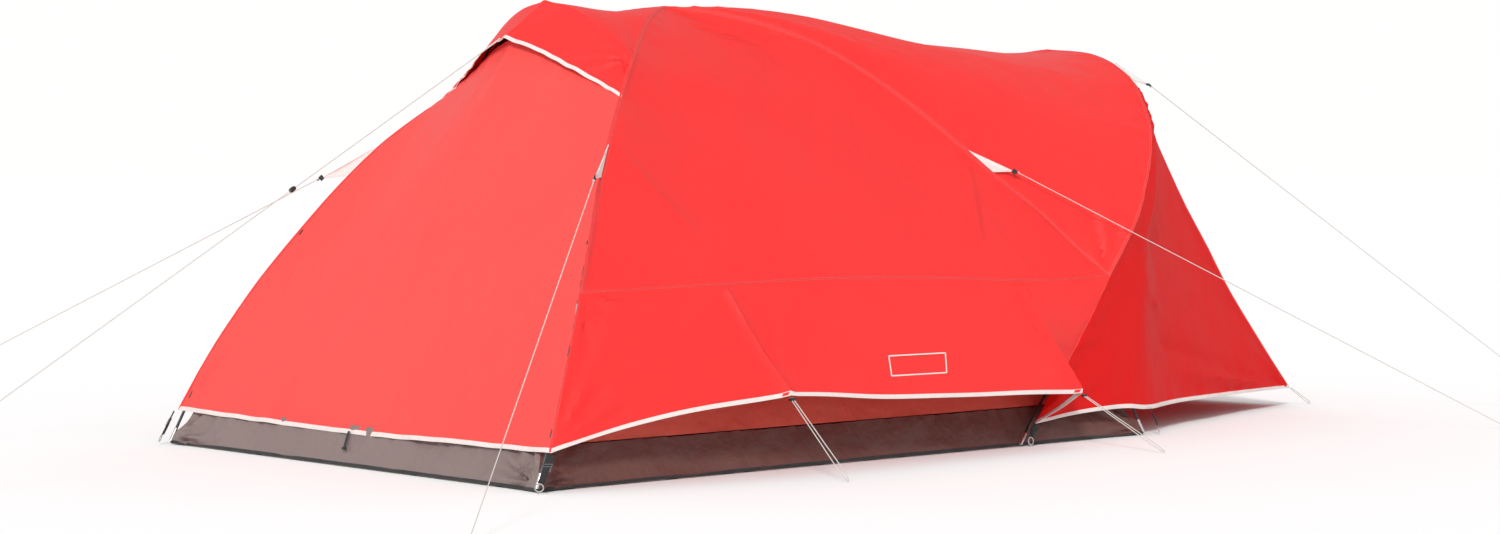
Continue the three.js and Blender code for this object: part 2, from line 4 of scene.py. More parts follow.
import bmesh
import bpy
import numpy as np
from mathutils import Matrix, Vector


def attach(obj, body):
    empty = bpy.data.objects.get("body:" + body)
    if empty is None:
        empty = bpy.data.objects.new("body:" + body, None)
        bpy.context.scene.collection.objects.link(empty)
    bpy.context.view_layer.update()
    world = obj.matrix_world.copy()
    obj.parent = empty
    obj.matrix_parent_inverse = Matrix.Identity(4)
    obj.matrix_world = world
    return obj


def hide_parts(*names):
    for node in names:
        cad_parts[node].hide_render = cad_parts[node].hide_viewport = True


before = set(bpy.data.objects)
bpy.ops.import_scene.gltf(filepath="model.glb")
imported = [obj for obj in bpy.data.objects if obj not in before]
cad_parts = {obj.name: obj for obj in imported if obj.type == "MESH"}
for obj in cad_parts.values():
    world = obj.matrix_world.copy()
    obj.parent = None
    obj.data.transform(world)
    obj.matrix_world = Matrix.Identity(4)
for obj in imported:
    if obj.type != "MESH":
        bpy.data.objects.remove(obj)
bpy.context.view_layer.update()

NEAR, FAR = -1, 1
SIDES = (("near", NEAR), ("far", FAR))
MM = 0.001
TURN = 2 * math.pi

# ---------- sizes shared with the CAD part ----------
HALF_LENGTH, HALF_WIDTH = 1.3715, 1.015
TUB_HEIGHT, TUB_LEAN = 0.127, 0.050
RIDGE_HEIGHT = 1.530
POLE_RADIUS, BROW_RADIUS = 0.00475, 0.00425
POLE_DROP, HOOP_DROP, BROW_DROP, INNER_DROP = 0.018, 0.019, 0.012, 0.045
CROSSING_STEP = 0.011
CORD_RADIUS = 0.0016
CLOTH = 0.0008
SIDE_SEAM_STEP, BRIM_STEP, BROW_STEP = 4, 9, 10
HOOP_CROSSES_RIDGE, SHOULDER_STEP = 4, 9
AWNING_REAR, AWNING_FRONT = 3, 7


# ---------- points and curves ----------
def at(side, rows):
    """Points given in millimetres for the far side, as metres on the given side."""
    return np.array(rows, float) * [1, side, 1] * MM


CREST = np.array([0, 0, RIDGE_HEIGHT])


def rear_ridge(side):
    return at(side, [
        [-1345, 1045, 118], [-1288, 1012, 240], [-1230, 977, 355], [-1166, 935, 470], [-1105, 889, 577],
        [-1000, 808, 740], [-884, 712, 910], [-770, 623, 1050], [-655, 532, 1160], [-620, 502, 1190],
        [-505, 425, 1316], [-365, 300, 1401], [-250, 205, 1464], [-115, 95, 1512], [0, 0, 1530]])


def front_ridge(side):
    return at(side, [
        [1247, 985, 575], [1175, 895, 672], [1085, 803, 795], [964, 713, 918], [847, 627, 1042],
        [731, 541, 1160], [587, 434, 1287], [440, 326, 1393], [300, 222, 1459], [150, 111, 1505],
        [0, 0, 1530]])


def hoop(side):
    return at(side, [
        [798, 1033, 76], [901, 1025, 190], [1022, 1012, 325], [1139, 1000, 455], [1247, 985, 575],
        [1425, 961, 772], [1550, 903, 911], [1639, 848, 1010], [1746, 755, 1129], [1889, 555, 1288],
        [1930, 468, 1333], [1971, 354, 1379], [2001, 225, 1412], [2020, 0, 1434]])


def brow(side):
    return at(side, [
        [-505, 425, 1316], [-520, 335, 1392], [-530, 235, 1456], [-540, 120, 1503], [-545, 0, 1521]])


def brim(side):
    return at(side, [
        [-620, 502, 1190], [-628, 386, 1239], [-660, 267, 1297], [-692, 140, 1355], [-717, 0, 1399]])


def sill(side):
    return at(side, [
        [-655, 532, 1160], [-642, 400, 1207], [-656, 267, 1264], [-684, 133, 1326], [-706, 0, 1368]])


def side_seam(side):
    return at(side, [
        [-1105, 889, 577], [-930, 915, 582], [-760, 928, 585], [-580, 937, 588], [-300, 948, 594],
        [50, 957, 594], [420, 965, 584], [770, 975, 567], [925, 980, 566], [1090, 983, 569],
        [1247, 985, 575]])


def skirt_hem(side):
    return at(side, [
        [-1345, 1045, 118], [-1138, 1090, 172], [-866, 1145, 219], [-520, 1200, 251], [-240, 1203, 232],
        [60, 1203, 215], [420, 1200, 204], [860, 1190, 187], [840, 1130, 140], [818, 1075, 104],
        [798, 1033, 76]])


def vestibule_hem(side):
    return at(side, [
        [798, 1033, 76], [1000, 1036, 96], [1265, 1036, 105], [1410, 1030, 94], [1590, 960, 92],
        [1757, 892, 91], [2040, 805, 87], [2313, 723, 83], [2580, 650, 78], [2838, 580, 72]])


def nose_seam(side):
    return at(side, [
        [1889, 555, 1288], [1943, 556, 1237], [1984, 557, 1134], [2017, 558, 1069], [2076, 560, 980],
        [2189, 563, 821], [2322, 566, 657], [2450, 570, 490], [2632, 575, 289], [2838, 580, 72]])


HOOD_LINE = at(NEAR, [[-545, 0, 1521], [-400, 0, 1499], [-265, 0, 1490], [-125, 0, 1503], [0, 0, 1530]])
ROOF_LINE = at(NEAR, [
    [2020, 0, 1434], [1810, 0, 1418], [1590, 0, 1411], [1350, 0, 1416], [1110, 0, 1424], [872, 0, 1436],
    [660, 0, 1450], [480, 0, 1466], [310, 0, 1487], [150, 0, 1508], [0, 0, 1530]])
REAR_HEM = at(NEAR, [
    [-1345, 1045, 118], [-1344, 784, 114], [-1342, 522, 110], [-1341, 261, 107], [-1340, 0, 105]])


def front_leg(side):
    return at(side, [
        [1386, 1026, 12], [1318, 975, 200], [1240, 915, 400], [1145, 845, 580], [1035, 762, 760],
        [932, 688, 905]])


def between(a, b, start, end, x):
    """Blend from a at start to b at end."""
    return ((end - x) * a + (x - start) * b) / (end - start)


def spline(points, k, corners=()):
    """Centripetal Catmull-Rom curve through points, k steps to each gap; it breaks at the corner numbers."""
    points = np.asarray(points, float)
    breaks = [0, *corners, len(points) - 1]
    if len(breaks) > 2:
        runs = [spline(points[a:b + 1], k) for a, b in zip(breaks, breaks[1:])]
        return np.vstack([runs[0]] + [r[1:] for r in runs[1:]])
    if len(points) == 2:
        return points[0] + np.linspace(0, 1, k + 1)[:, None] * (points[1] - points[0])
    p = np.vstack([2 * points[0] - points[1], points, 2 * points[-1] - points[-2]])
    gaps = np.maximum(np.linalg.norm(np.diff(p, axis=0), axis=1), 1e-9) ** 0.5
    t = np.concatenate([[0], np.cumsum(gaps)])
    out = []
    for i in range(1, len(p) - 2):
        x = np.linspace(t[i], t[i + 1], k, endpoint=False)[:, None]
        row = [between(p[j], p[j + 1], t[j], t[j + 1], x) for j in (i - 1, i, i + 1)]
        row = [between(row[j], row[j + 1], t[i - 1 + j], t[i + 1 + j], x) for j in (0, 1)]
        out.append(between(*row, t[i], t[i + 1], x))
    return np.vstack(out + [points[-1:]])


def mirrored(line):
    """A near line that ends on the middle plane, carried on to the far side."""
    return np.vstack([line, line[-2::-1] * [1, -1, 1]])


def straight(a, b, count):
    return a + np.linspace(0, 1, count + 1).reshape(-1, *[1] * np.ndim(a)) * (b - a)


def unit(v):
    v = np.asarray(v, float)
    return v / np.maximum(np.linalg.norm(v, axis=-1, keepdims=True), 1e-12)


def inward(p):
    """Unit directions from points of the canopy to the inside of the tent."""
    p = np.asarray(p, float)
    heart = np.stack([p[..., 0] * 0.55, np.zeros(p.shape[:-1]), np.minimum(p[..., 2], 0.3)], -1)
    return unit(heart - p)


def inset(p, distance):
    return p + inward(p) * distance


def fill(bottom, top, left, right, slack=0.0, sharpness=4):
    """Surface inside four edges; slack pulls its middle flat between the left and right edges."""
    u = np.linspace(0, 1, len(bottom))[None, :, None]
    v = np.linspace(0, 1, len(left))[:, None, None]
    b, t, l, r = bottom[None], top[None], left[:, None], right[:, None]
    corners = (1 - v) * ((1 - u) * b[:, :1] + u * b[:, -1:]) + v * ((1 - u) * t[:, :1] + u * t[:, -1:])
    bow = (1 - u) * (l - (1 - v) * l[:1] - v * l[-1:]) + u * (r - (1 - v) * r[:1] - v * r[-1:])
    flat = slack * (1 - np.abs(2 * u - 1) ** sharpness)
    return (1 - v) * b + v * t + (1 - u) * l + u * r - corners - flat * bow


def smooth(x, low, high):
    """0 below low, 1 above high, and a smooth step between."""
    t = np.clip((x - low) / (high - low), 0, 1)
    return t * t * (3 - 2 * t)


# ---------- folds and wrinkles ----------
def ripple(x, length, seed, terms=4):
    """Uneven waves of about that length along x, between -1 and 1."""
    rng = np.random.default_rng(seed)
    total = np.zeros_like(x)
    for _ in range(terms):
        total += np.sin(TURN * x / (length * rng.uniform(0.6, 1.9)) + rng.uniform(0, TURN))
    return total / terms


def lump(p, length, seed, terms=6):
    """Smooth uneven field in space with features of about that length, between -1 and 1."""
    rng = np.random.default_rng(seed)
    total = np.zeros(p.shape[:-1])
    for _ in range(terms):
        way = unit(rng.normal(size=3)) / (length * rng.uniform(0.7, 1.8))
        total += np.sin(TURN * (p @ way) + rng.uniform(0, TURN))
    return total / terms


def outward(grid):
    """Unit normals of a grid of points, pointing out of the tent."""
    du = np.gradient(grid, axis=1)
    dv = np.gradient(grid, axis=0)
    n = np.cross(du, dv)
    weak = np.linalg.norm(n, axis=-1) < 1e-12
    n[weak] = -inward(grid[weak])
    n = unit(n)
    return n * np.where((n * inward(grid)).sum(-1, keepdims=True) > 0, -1, 1)


def turned(grid):
    return grid.transpose(1, 0, *range(2, grid.ndim))


def lines_from(grid, edge):
    """The grid's lines that start on an edge and run into the panel."""
    lines = turned(grid) if edge in ("bottom", "top") else grid
    return lines[:, ::-1] if edge in ("right", "top") else lines


def back_from(lines, edge):
    """Turns an array laid out as lines_from gives it back to the grid's own layout."""
    lines = lines[:, ::-1] if edge in ("right", "top") else lines
    return turned(lines) if edge in ("bottom", "top") else lines


def run_along(line):
    """Distance along one line from its first point."""
    return np.concatenate([[0], np.cumsum(np.linalg.norm(np.diff(line, axis=0), axis=1))])


def run_of(lines):
    """Distance along each line from its first point."""
    steps = np.linalg.norm(np.diff(lines, axis=1), axis=-1)
    return np.concatenate([np.zeros((len(lines), 1)), np.cumsum(steps, axis=1)], axis=1)


def edge_distance(grid, edge):
    return back_from(run_of(lines_from(grid, edge)), edge)


def edge_run(grid, edge):
    """For every grid point, how far along the edge its line starts."""
    lines = lines_from(grid, edge)
    return back_from(np.repeat(run_along(lines[:, 0])[:, None], lines.shape[1], axis=1), edge)


FADE = 0.05


def pucker(edge, depth, length, reach, seed):
    """Short folds that run off a seam."""
    def field(grid):
        run, far = edge_run(grid, edge), edge_distance(grid, edge)
        share = run / run.max()
        window = smooth(share, -FADE, FADE) * (1 - smooth(share, 1 - FADE, 1 + FADE))
        drift = 0.35 * far * ripple(run, 0.5, seed + 7)
        return depth * window * ripple(run + drift, length, seed) * np.exp(-far / reach)
    return field


def rays(centre, depth, count, near, reach, seed):
    """Folds that fan out from a point."""
    centre = np.array(centre)

    def field(grid):
        arm = grid - centre
        r = np.linalg.norm(arm, axis=-1)
        nearest = np.unravel_index(np.argmin(r), r.shape)
        n = outward(grid)[nearest]
        e1 = unit(np.cross(n, [0.3, 0.2, 1.0]))
        e2 = np.cross(n, e1)
        angle = np.arctan2(arm @ e2, arm @ e1)
        window = smooth(r, 0.0, near) * np.exp(-np.maximum(r - near, 0) / reach)
        rng = np.random.default_rng(seed)
        wave = sum(np.sin(k * angle + rng.uniform(0, TURN)) for k in (count, count + 3, count + 7)) / 3
        return depth * window * wave
    return field


def crease(a, b, depth, width, taper=0.25):
    """One fold along a straight line; a negative depth is a valley."""
    a, b = np.array(a), np.array(b)

    def field(grid):
        along = b - a
        t = ((grid - a) @ along) / (along @ along)
        off = np.linalg.norm(grid - (a + np.clip(t, 0, 1)[..., None] * along), axis=-1)
        ends = smooth(t, -0.02, taper) * (1 - smooth(t, 1 - taper, 1.02))
        return depth * ends * np.exp(-(off / width) ** 2)
    return field


def billow(depth, length, seed):
    return lambda grid: depth * lump(grid, length, seed)


FOLD_DEPTH = 3.0


def drawn(grid, fields, held=("left", "right", "bottom", "top"), ease=0.03):
    """The grid pushed along its normals by the fields, easing to nothing on the held edges."""
    push = sum(f(grid) for f in fields)
    for edge in held:
        push = push * smooth(edge_distance(grid, edge), 0.0, ease)
    return grid + outward(grid) * (FOLD_DEPTH * push)[..., None]


# ---------- pieces ----------
BLOCK_EASE = 0.2
RING_TURNS, RING_SIDES = 28, 8
SHARP_ANGLE = 35


class Shape:
    """Vertices, faces, corner UVs in metres and material numbers of one piece."""

    def __init__(self):
        self.verts, self.faces, self.uvs, self.mats, self.count = [], [], [], [], 0

    def put(self, verts, faces, uvs, mat=0):
        verts = np.asarray(verts, float).reshape(-1, 3)
        faces = np.asarray(faces, int)
        self.verts.append(verts)
        self.faces += (faces + self.count).tolist()
        self.uvs.append(np.asarray(uvs, float).reshape(-1, 2))
        self.mats += [mat] * len(faces)
        self.count += len(verts)

    def shell(self, grid, thick=CLOTH, mat=0, kept=None):
        """Closed cloth under a grid of outer points; kept says which cells are cloth."""
        rows, cols = grid.shape[:2]
        kept = np.ones((rows - 1, cols - 1), bool) if kept is None else kept
        normals = outward(grid)
        run_u = run_of(grid)
        run_v = run_of(grid.transpose(1, 0, 2)).T
        uv = np.stack([run_u - run_u[:, cols // 2:cols // 2 + 1], run_v], -1).reshape(-1, 2)
        uv = np.vstack([uv, uv])
        layer = rows * cols
        k = np.arange(layer).reshape(rows, cols)
        a, b, c, d = k[:-1, :-1], k[:-1, 1:], k[1:, 1:], k[1:, :-1]
        top = np.stack([a, b, c, d], -1)
        parts = [top[kept], top[kept][:, ::-1] + layer]
        wide = np.pad(kept, 1)
        for p, q, beside in ((a, b, wide[:-2, 1:-1]), (b, c, wide[1:-1, 2:]), (c, d, wide[2:, 1:-1]),
                             (d, a, wide[1:-1, :-2])):
            rim = kept & ~beside
            p, q = p[rim], q[rim]
            parts.append(np.stack([q, p, p + layer, q + layer], -1))
        faces = np.vstack(parts)
        points = np.vstack([grid.reshape(-1, 3), (grid - normals * thick).reshape(-1, 3)])
        used = np.unique(faces)
        number = np.zeros(len(points), int)
        number[used] = np.arange(len(used))
        self.put(points[used], number[faces], uv[faces], mat)

    def sweep(self, sections, run, girth, mat=0):
        """Closed body through sections, an array of rings of points."""
        rings, sides = sections.shape[:2]
        k = np.arange(rings * sides).reshape(rings, sides)
        nxt = np.roll(k, -1, axis=1)
        faces = np.stack([k[:-1], nxt[:-1], nxt[1:], k[1:]], -1).reshape(-1, 4)
        g = np.append(girth, girth[-1] + (girth[-1] - girth[-2]))
        u0, u1 = run[:-1, None].repeat(sides, 1), run[1:, None].repeat(sides, 1)
        v0, v1 = g[None, :-1].repeat(rings - 1, 0), g[None, 1:].repeat(rings - 1, 0)
        uvs = np.stack([np.stack(x, -1) for x in ((u0, v0), (u0, v1), (u1, v1), (u1, v0))], 2)
        base = self.count
        self.put(sections, faces, uvs, mat)
        for ring in (k[0][::-1], k[-1]):
            self.faces.append((ring + base).tolist())
            self.uvs.append(np.stack([np.zeros(sides), np.arange(sides) * MM], -1))
            self.mats.append(mat)

    def tube(self, path, radius, mat=0, sides=12):
        """Round rod along a path; radius is one number or one for each point."""
        path = np.asarray(path, float)
        radius = np.broadcast_to(radius, len(path))
        tangent = unit(np.gradient(path, axis=0))
        up = unit(np.cross(tangent[0], [0.31, 0.17, 0.93]))
        ring = []
        turn = np.linspace(0, TURN, sides, endpoint=False)
        for p, t, r in zip(path, tangent, radius):
            up = unit(up - (up @ t) * t)
            side = np.cross(t, up)
            ring.append(p + r * (np.cos(turn)[:, None] * up + np.sin(turn)[:, None] * side))
        self.sweep(np.array(ring), run_along(path), np.arange(sides) * TURN * radius.max() / sides, mat)

    def block(self, centre, axes, size, mat=0):
        """Box with eased edges; axes are two directions and size three lengths."""
        x = unit(axes[0])
        y = unit(np.asarray(axes[1]) - (np.asarray(axes[1]) @ x) * x)
        z = np.cross(x, y)
        half = np.array(size) / 2
        e = BLOCK_EASE * half.min()
        outline = []
        for sx, sy in ((1, 1), (-1, 1), (-1, -1), (1, -1)):
            corner = [(half[0] - e, half[1]), (half[0], half[1] - e)]
            outline += [(sx * px, sy * py) for px, py in (corner if sx * sy < 0 else corner[::-1])]
        outline = np.array(outline)
        rings = []
        for h, s in ((-half[2], 1 - e / half[:2].min()), (-half[2] + e, 1), (half[2] - e, 1),
                     (half[2], 1 - e / half[:2].min())):
            rings.append(centre + outline[:, :1] * s * x + outline[:, 1:] * s * y + h * z)
        girth = np.arange(len(outline)) * (half[0] + half[1]) / 2
        self.sweep(np.array(rings), np.array([0, e, size[2] - e, size[2]]), girth, mat)

    def ring(self, centre, normal, radius, wire, mat, lead):
        """Closed wire ring."""
        turns, sides = RING_TURNS, RING_SIDES
        n = unit(normal)
        e1 = unit(np.asarray(lead, float) - (np.asarray(lead) @ n) * n)
        e2 = np.cross(n, e1)
        t = np.linspace(0, TURN, turns, endpoint=False)
        line = centre + radius * (np.cos(t)[:, None] * e1 + np.sin(t)[:, None] * e2)
        out = unit(line - centre)
        s = np.linspace(0, TURN, sides, endpoint=False)
        around = np.cos(s)[None, :, None] * out[:, None] + np.sin(s)[None, :, None] * n
        rings = line[:, None] + wire * around
        k = np.arange(turns * sides).reshape(turns, sides)
        nxt = np.roll(k, -1, axis=1)
        faces = np.stack([k, np.roll(k, -1, axis=0), np.roll(nxt, -1, axis=0), nxt], -1).reshape(-1, 4)
        u = np.arange(turns + 1) * TURN * radius / turns
        v = np.arange(sides + 1) * TURN * wire / sides
        corner = [(0, 0), (1, 0), (1, 1), (0, 1)]
        uvs = np.stack([np.stack(np.broadcast_arrays(u[a:a + turns, None], v[None, b:b + sides]), -1)
                        for a, b in corner], 2)
        self.put(rings, faces, uvs, mat)

    def make(self, name, materials, body="tent", slot=None, replaces=()):
        mesh = bpy.data.meshes.new(name)
        mesh.from_pydata(np.vstack(self.verts).tolist(), [], self.faces)
        mesh.uv_layers.new(name="UVMap").data.foreach_set("uv", np.vstack(self.uvs).ravel())
        for material in materials:
            mesh.materials.append(material)
        mesh.polygons.foreach_set("material_index", self.mats)
        work = bmesh.new()
        work.from_mesh(mesh)
        bmesh.ops.remove_doubles(work, verts=work.verts, dist=2e-6)
        bmesh.ops.recalc_face_normals(work, faces=work.faces)
        work.to_mesh(mesh)
        work.free()
        mesh.shade_smooth()
        mesh.set_sharp_from_angle(angle=math.radians(SHARP_ANGLE))
        piece = bpy.data.objects.new(name, mesh)
        bpy.context.scene.collection.objects.link(piece)
        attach(piece, body)
        if replaces:
            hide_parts(*replaces)
        return piece


def stations(grid, edge, widths, lifts, step, span):
    """Points at given distances in from an edge and lifts off the cloth, for every line along the edge."""
    lines = lines_from(grid, edge)
    normals = lines_from(outward(grid), edge)
    first, last = (int(round(s * (len(lines) - 1))) for s in span)
    picks = np.unique(np.append(np.arange(first, last, step), last))
    lines, normals = lines[picks], normals[picks]
    run = run_of(lines)
    out = np.empty((len(lines), len(widths), 3))
    for i, (line, normal, r) in enumerate(zip(lines, normals, run)):
        inner = unit(line[min(2, len(line) - 1)] - line[0])
        for j, (w, lift) in enumerate(zip(widths, lifts)):
            w = min(w, r[-1])
            p = np.array([np.interp(max(w, 0), r, line[:, c]) for c in range(3)])
            n = unit(np.array([np.interp(max(w, 0), r, normal[:, c]) for c in range(3)]))
            out[i, j] = p + min(w, 0) * inner + lift * n
    return out, run_along(lines[:, 0])


BINDING_PROFILE = np.array([
    [14, 0.5], [13.4, 1.0], [7, 1.15], [0.6, 1.15], [-1.3, 0.4], [-1.3, -0.9], [0.6, -1.9], [13.4, -1.7],
    [14, -1.2]]) * MM
SEAM_PROFILE = np.array([[0.2, -0.3], [0.4, 0.7], [1.4, 1.2], [10, 1.1], [11, 0.6], [11, -0.3]]) * MM


def band(shape, grid, edge, profile, mat, step=1, span=(0, 1)):
    """Strip with a closed profile that follows an edge of a panel."""
    points, run = stations(grid, edge, profile[:, 0], profile[:, 1], step, span)
    girth = run_along(profile)
    shape.sweep(points, run, girth, mat)


def declare(piece, grid, *rests_on):
    """Works out the longest grid line of a panel each way; the lengths are not kept."""
    width, length = run_of(grid)[:, -1].max(), run_of(grid.transpose(1, 0, 2))[:, -1].max()


# ---------- materials ----------
class Net:
    """Short calls for the nodes of one material."""

    def __init__(self, name, colour, roughness=0.5, **values):
        self.material = bpy.data.materials.new(name)
        self.material.use_nodes = True
        self.tree = self.material.node_tree
        self.tree.nodes.clear()
        self.out = self.node("OutputMaterial")
        self.shader = self.node("BsdfPrincipled")
        self.link(self.shader.outputs[0], self.out.inputs[0])
        self.value("Base Color", colour)
        self.value("Roughness", roughness)
        for socket, value in values.items():
            self.value(socket.replace("_", " "), value)

    def node(self, kind, **values):
        made = self.tree.nodes.new("ShaderNode" + kind)
        for key, value in values.items():
            setattr(made, key, value)
        return made

    def link(self, a, b):
        self.tree.links.new(a, b)

    def value(self, socket, value):
        """Sets a shader input to a number, a colour or another node's output."""
        target = self.shader.inputs[socket]
        if isinstance(value, bpy.types.NodeSocket):
            self.link(value, target)
        else:
            target.default_value = (*value, 1) if isinstance(value, tuple) else value

    def maths(self, operation, a, b=0.0):
        made = self.node("Math", operation=operation)
        for k, x in enumerate((a, b)):
            if isinstance(x, bpy.types.NodeSocket):
                self.link(x, made.inputs[k])
            else:
                made.inputs[k].default_value = x
        return made.outputs[0]

    def uv(self):
        made = self.node("SeparateXYZ")
        self.link(self.node("TexCoord").outputs["UV"], made.inputs[0])
        return made.outputs[0], made.outputs[1]

    def place(self):
        return self.node("TexCoord").outputs["Object"]

    def noise(self, scale, detail=3.0, vector=None):
        made = self.node("TexNoise")
        made.inputs["Scale"].default_value = scale
        made.inputs["Detail"].default_value = detail
        self.link(vector or self.place(), made.inputs["Vector"])
        return made.outputs["Fac"]

    def wave(self, coordinate, pitch):
        """Sine of a coordinate in metres."""
        return self.maths("SINE", self.maths("MULTIPLY", coordinate, TURN / pitch))

    def blend(self, factor, a, b):
        made = self.node("Mix", data_type="RGBA")
        for k, x in ((0, factor), (6, a), (7, b)):
            if isinstance(x, bpy.types.NodeSocket):
                self.link(x, made.inputs[k])
            else:
                made.inputs[k].default_value = (*x, 1) if isinstance(x, tuple) else x
        return made.outputs[2]

    def bump(self, *layers):
        """Adds bump layers of (height, strength, distance in metres)."""
        last = None
        for height, strength, distance in layers:
            made = self.node("Bump")
            made.inputs["Strength"].default_value = strength
            made.inputs["Distance"].default_value = distance
            self.link(height, made.inputs["Height"])
            if last:
                self.link(last, made.inputs["Normal"])
            last = made.outputs[0]
        self.value("Normal", last)

    def glow_through(self, share, colour):
        """Lets light through the cloth."""
        thin = self.node("BsdfTranslucent")
        thin.inputs["Color"].default_value = (*colour, 1)
        both = self.node("MixShader")
        both.inputs[0].default_value = share
        self.link(self.shader.outputs[0], both.inputs[1])
        self.link(thin.outputs[0], both.inputs[2])
        self.link(both.outputs[0], self.out.inputs[0])

    def see_through(self, open_share):
        """Mesh holes: mixes the shader with a transparent one by an output that is 1 in a hole."""
        clear = self.node("BsdfTransparent")
        both = self.node("MixShader")
        self.link(open_share, both.inputs[0])
        self.link(self.shader.outputs[0], both.inputs[1])
        self.link(clear.outputs[0], both.inputs[2])
        self.link(both.outputs[0], self.out.inputs[0])


def taffeta(name, colour, deep, through, share, roughness=0.5, gloss=0.28, crinkle=1.0):
    """Coated cloth: fine weave, ripstop threads, soft crinkles and an uneven tone."""
    net = Net(name, colour, roughness, Specular_IOR_Level=gloss)
    u, v = net.uv()
    tone = net.noise(2.2, 3.0)
    fine = net.noise(420.0, 2.0)
    mixed = net.maths("ADD", net.maths("MULTIPLY", tone, 0.75), net.maths("MULTIPLY", fine, 0.25))
    net.value("Base Color", net.blend(mixed, deep, colour))
    weave = net.maths("MULTIPLY", net.wave(u, 0.0008), net.wave(v, 0.0008))
    rip = net.maths("MAXIMUM", net.maths("POWER", net.maths("ABSOLUTE", net.wave(u, 0.012)), 24.0),
                    net.maths("POWER", net.maths("ABSOLUTE", net.wave(v, 0.012)), 24.0))
    net.bump((net.noise(6.0, 5.0), 0.45 * crinkle, 0.03), (net.noise(34.0, 4.0), 0.22 * crinkle, 0.004),
             (rip, 0.12, 0.0003), (weave, 0.10, 0.0002))
    net.glow_through(share, through)
    return net.material


def binding(name, colour, dark, lines=(0.0032, 0.0112)):
    """Folded tape with ribs across it and two rows of stitches."""
    net = Net(name, colour, 0.62, Specular_IOR_Level=0.35)
    u, v = net.uv()
    dash = net.maths("GREATER_THAN", net.wave(u, 0.0046), -0.35)
    rows = None
    for line in lines:
        near = net.maths("LESS_THAN", net.maths("ABSOLUTE", net.maths("SUBTRACT", v, line)), 0.0005)
        rows = near if rows is None else net.maths("MAXIMUM", rows, near)
    stitch = net.maths("MULTIPLY", dash, rows)
    tone = net.blend(net.noise(60.0, 3.0), dark, colour)
    net.value("Base Color", net.blend(net.maths("MULTIPLY", stitch, 0.35), tone, (0.55, 0.45, 0.40)))
    net.bump((net.wave(u, 0.0011), 0.25, 0.0002), (stitch, -0.6, 0.0005),
             (net.noise(90.0, 3.0), 0.35, 0.0008))
    return net.material


def webbing(name, colour, pitch=0.0016):
    net = Net(name, colour, 0.7, Specular_IOR_Level=0.35, Sheen_Weight=0.15)
    u, v = net.uv()
    weave = net.maths("MULTIPLY", net.wave(net.maths("ADD", u, v), pitch),
                      net.wave(net.maths("SUBTRACT", u, v), pitch))
    light = tuple(min(1.0, c * 1.7 + 0.01) for c in colour)
    net.value("Base Color", net.blend(net.maths("MULTIPLY", net.noise(300.0, 2.0), 0.5), colour, light))
    net.bump((weave, 0.5, 0.0003))
    return net.material


def plain(name, colour, roughness, metallic=0.0, grain=500.0, depth=0.15):
    net = Net(name, colour, roughness, Metallic=metallic)
    spots = net.noise(grain, 3.0)
    net.value("Roughness", net.maths("ADD", net.maths("MULTIPLY", spots, 0.2), roughness - 0.1))
    net.bump((spots, depth, 0.0001))
    return net.material


def netting(name, colour, holes):
    """Insect mesh, darker or lighter with the share of holes."""
    net = Net(name, colour, 0.75, Specular_IOR_Level=0.3)
    u, v = net.uv()
    grid = net.maths("MULTIPLY", net.wave(u, 0.0016), net.wave(v, 0.0016))
    net.bump((grid, 0.4, 0.0003))
    net.see_through(net.maths("ADD", net.maths("MULTIPLY", net.noise(40.0, 2.0), 0.1), holes - 0.05))
    return net.material


RED = taffeta("fly_taffeta", (0.97, 0.046, 0.043), (0.93, 0.034, 0.032), (1.0, 0.05, 0.04), 0.28)
# Vestibule flank: the fly red painted darker, painted shade on the side turned from the light, with less
# gloss.
FLANK_RED_PAINTED_SHADE = taffeta("flank_taffeta_painted_shade", (0.74, 0.013, 0.012), (0.66, 0.008, 0.008), (0.95, 0.03, 0.025),
                    0.2, 0.6, 0.12)
# Rear panel: the fly red painted lighter and pinker, painted light where the panel faces the sun.
REAR_RED_PAINTED_LIGHT = taffeta("rear_taffeta_painted_light", (1.0, 0.112, 0.100), (0.97, 0.092, 0.082), (1.0, 0.13, 0.11), 0.32)
TUB = taffeta("tub_cloth", (0.255, 0.190, 0.178), (0.195, 0.140, 0.130), (0.22, 0.12, 0.1),
              0.08, 0.5, 0.4, 2.2)
# Near and far tub walls: the tub cloth painted darker and redder, painted shade under the awning and painted
# red light from the fly.
TUB_SIDE_PAINTED_SHADE = taffeta("tub_cloth_side_painted_shade", (0.165, 0.070, 0.060), (0.115, 0.045, 0.038), (0.2, 0.08, 0.06),
                   0.08, 0.5, 0.3, 2.2)
# Inner tent cloth: a pale wall painted red, painted red light that comes through the fly.
INNER_PAINTED_RED_LIGHT = taffeta("inner_cloth", (0.95, 0.24, 0.18), (0.86, 0.18, 0.13), (0.85, 0.3, 0.22),
                0.35, 0.6, 0.2, 2.0)
WHITE_TAPE = binding("binding_tape", (0.76, 0.69, 0.66), (0.64, 0.57, 0.54))
RED_TAPE = binding("seam_tape", (0.80, 0.026, 0.026), (0.62, 0.018, 0.018), (0.0024, 0.0094))
STRAP = webbing("black_webbing", (0.010, 0.010, 0.011))
# Guy cord: its own light grey-beige, darkened further by painted shade so the thin cords read against white.
CORD_WITH_PAINTED_SHADE = webbing("guy_braid", (0.47, 0.445, 0.41), 0.0026)
FLAP = webbing("flap_cloth", (0.66, 0.61, 0.57))
NETTING = netting("vent_netting", (0.012, 0.012, 0.013), 0.25)
INNER_NET = netting("inner_netting", (0.016, 0.016, 0.018), 0.42)
POLE = plain("pole_wrap", (0.022, 0.022, 0.024), 0.38, grain=160.0)
STEEL = plain("steel", (0.62, 0.61, 0.60), 0.3, 1.0)
PLASTIC = plain("acetal", (0.012, 0.012, 0.013), 0.42)
COIL = plain("zip_coil", (0.03, 0.03, 0.032), 0.5, grain=900.0, depth=0.6)


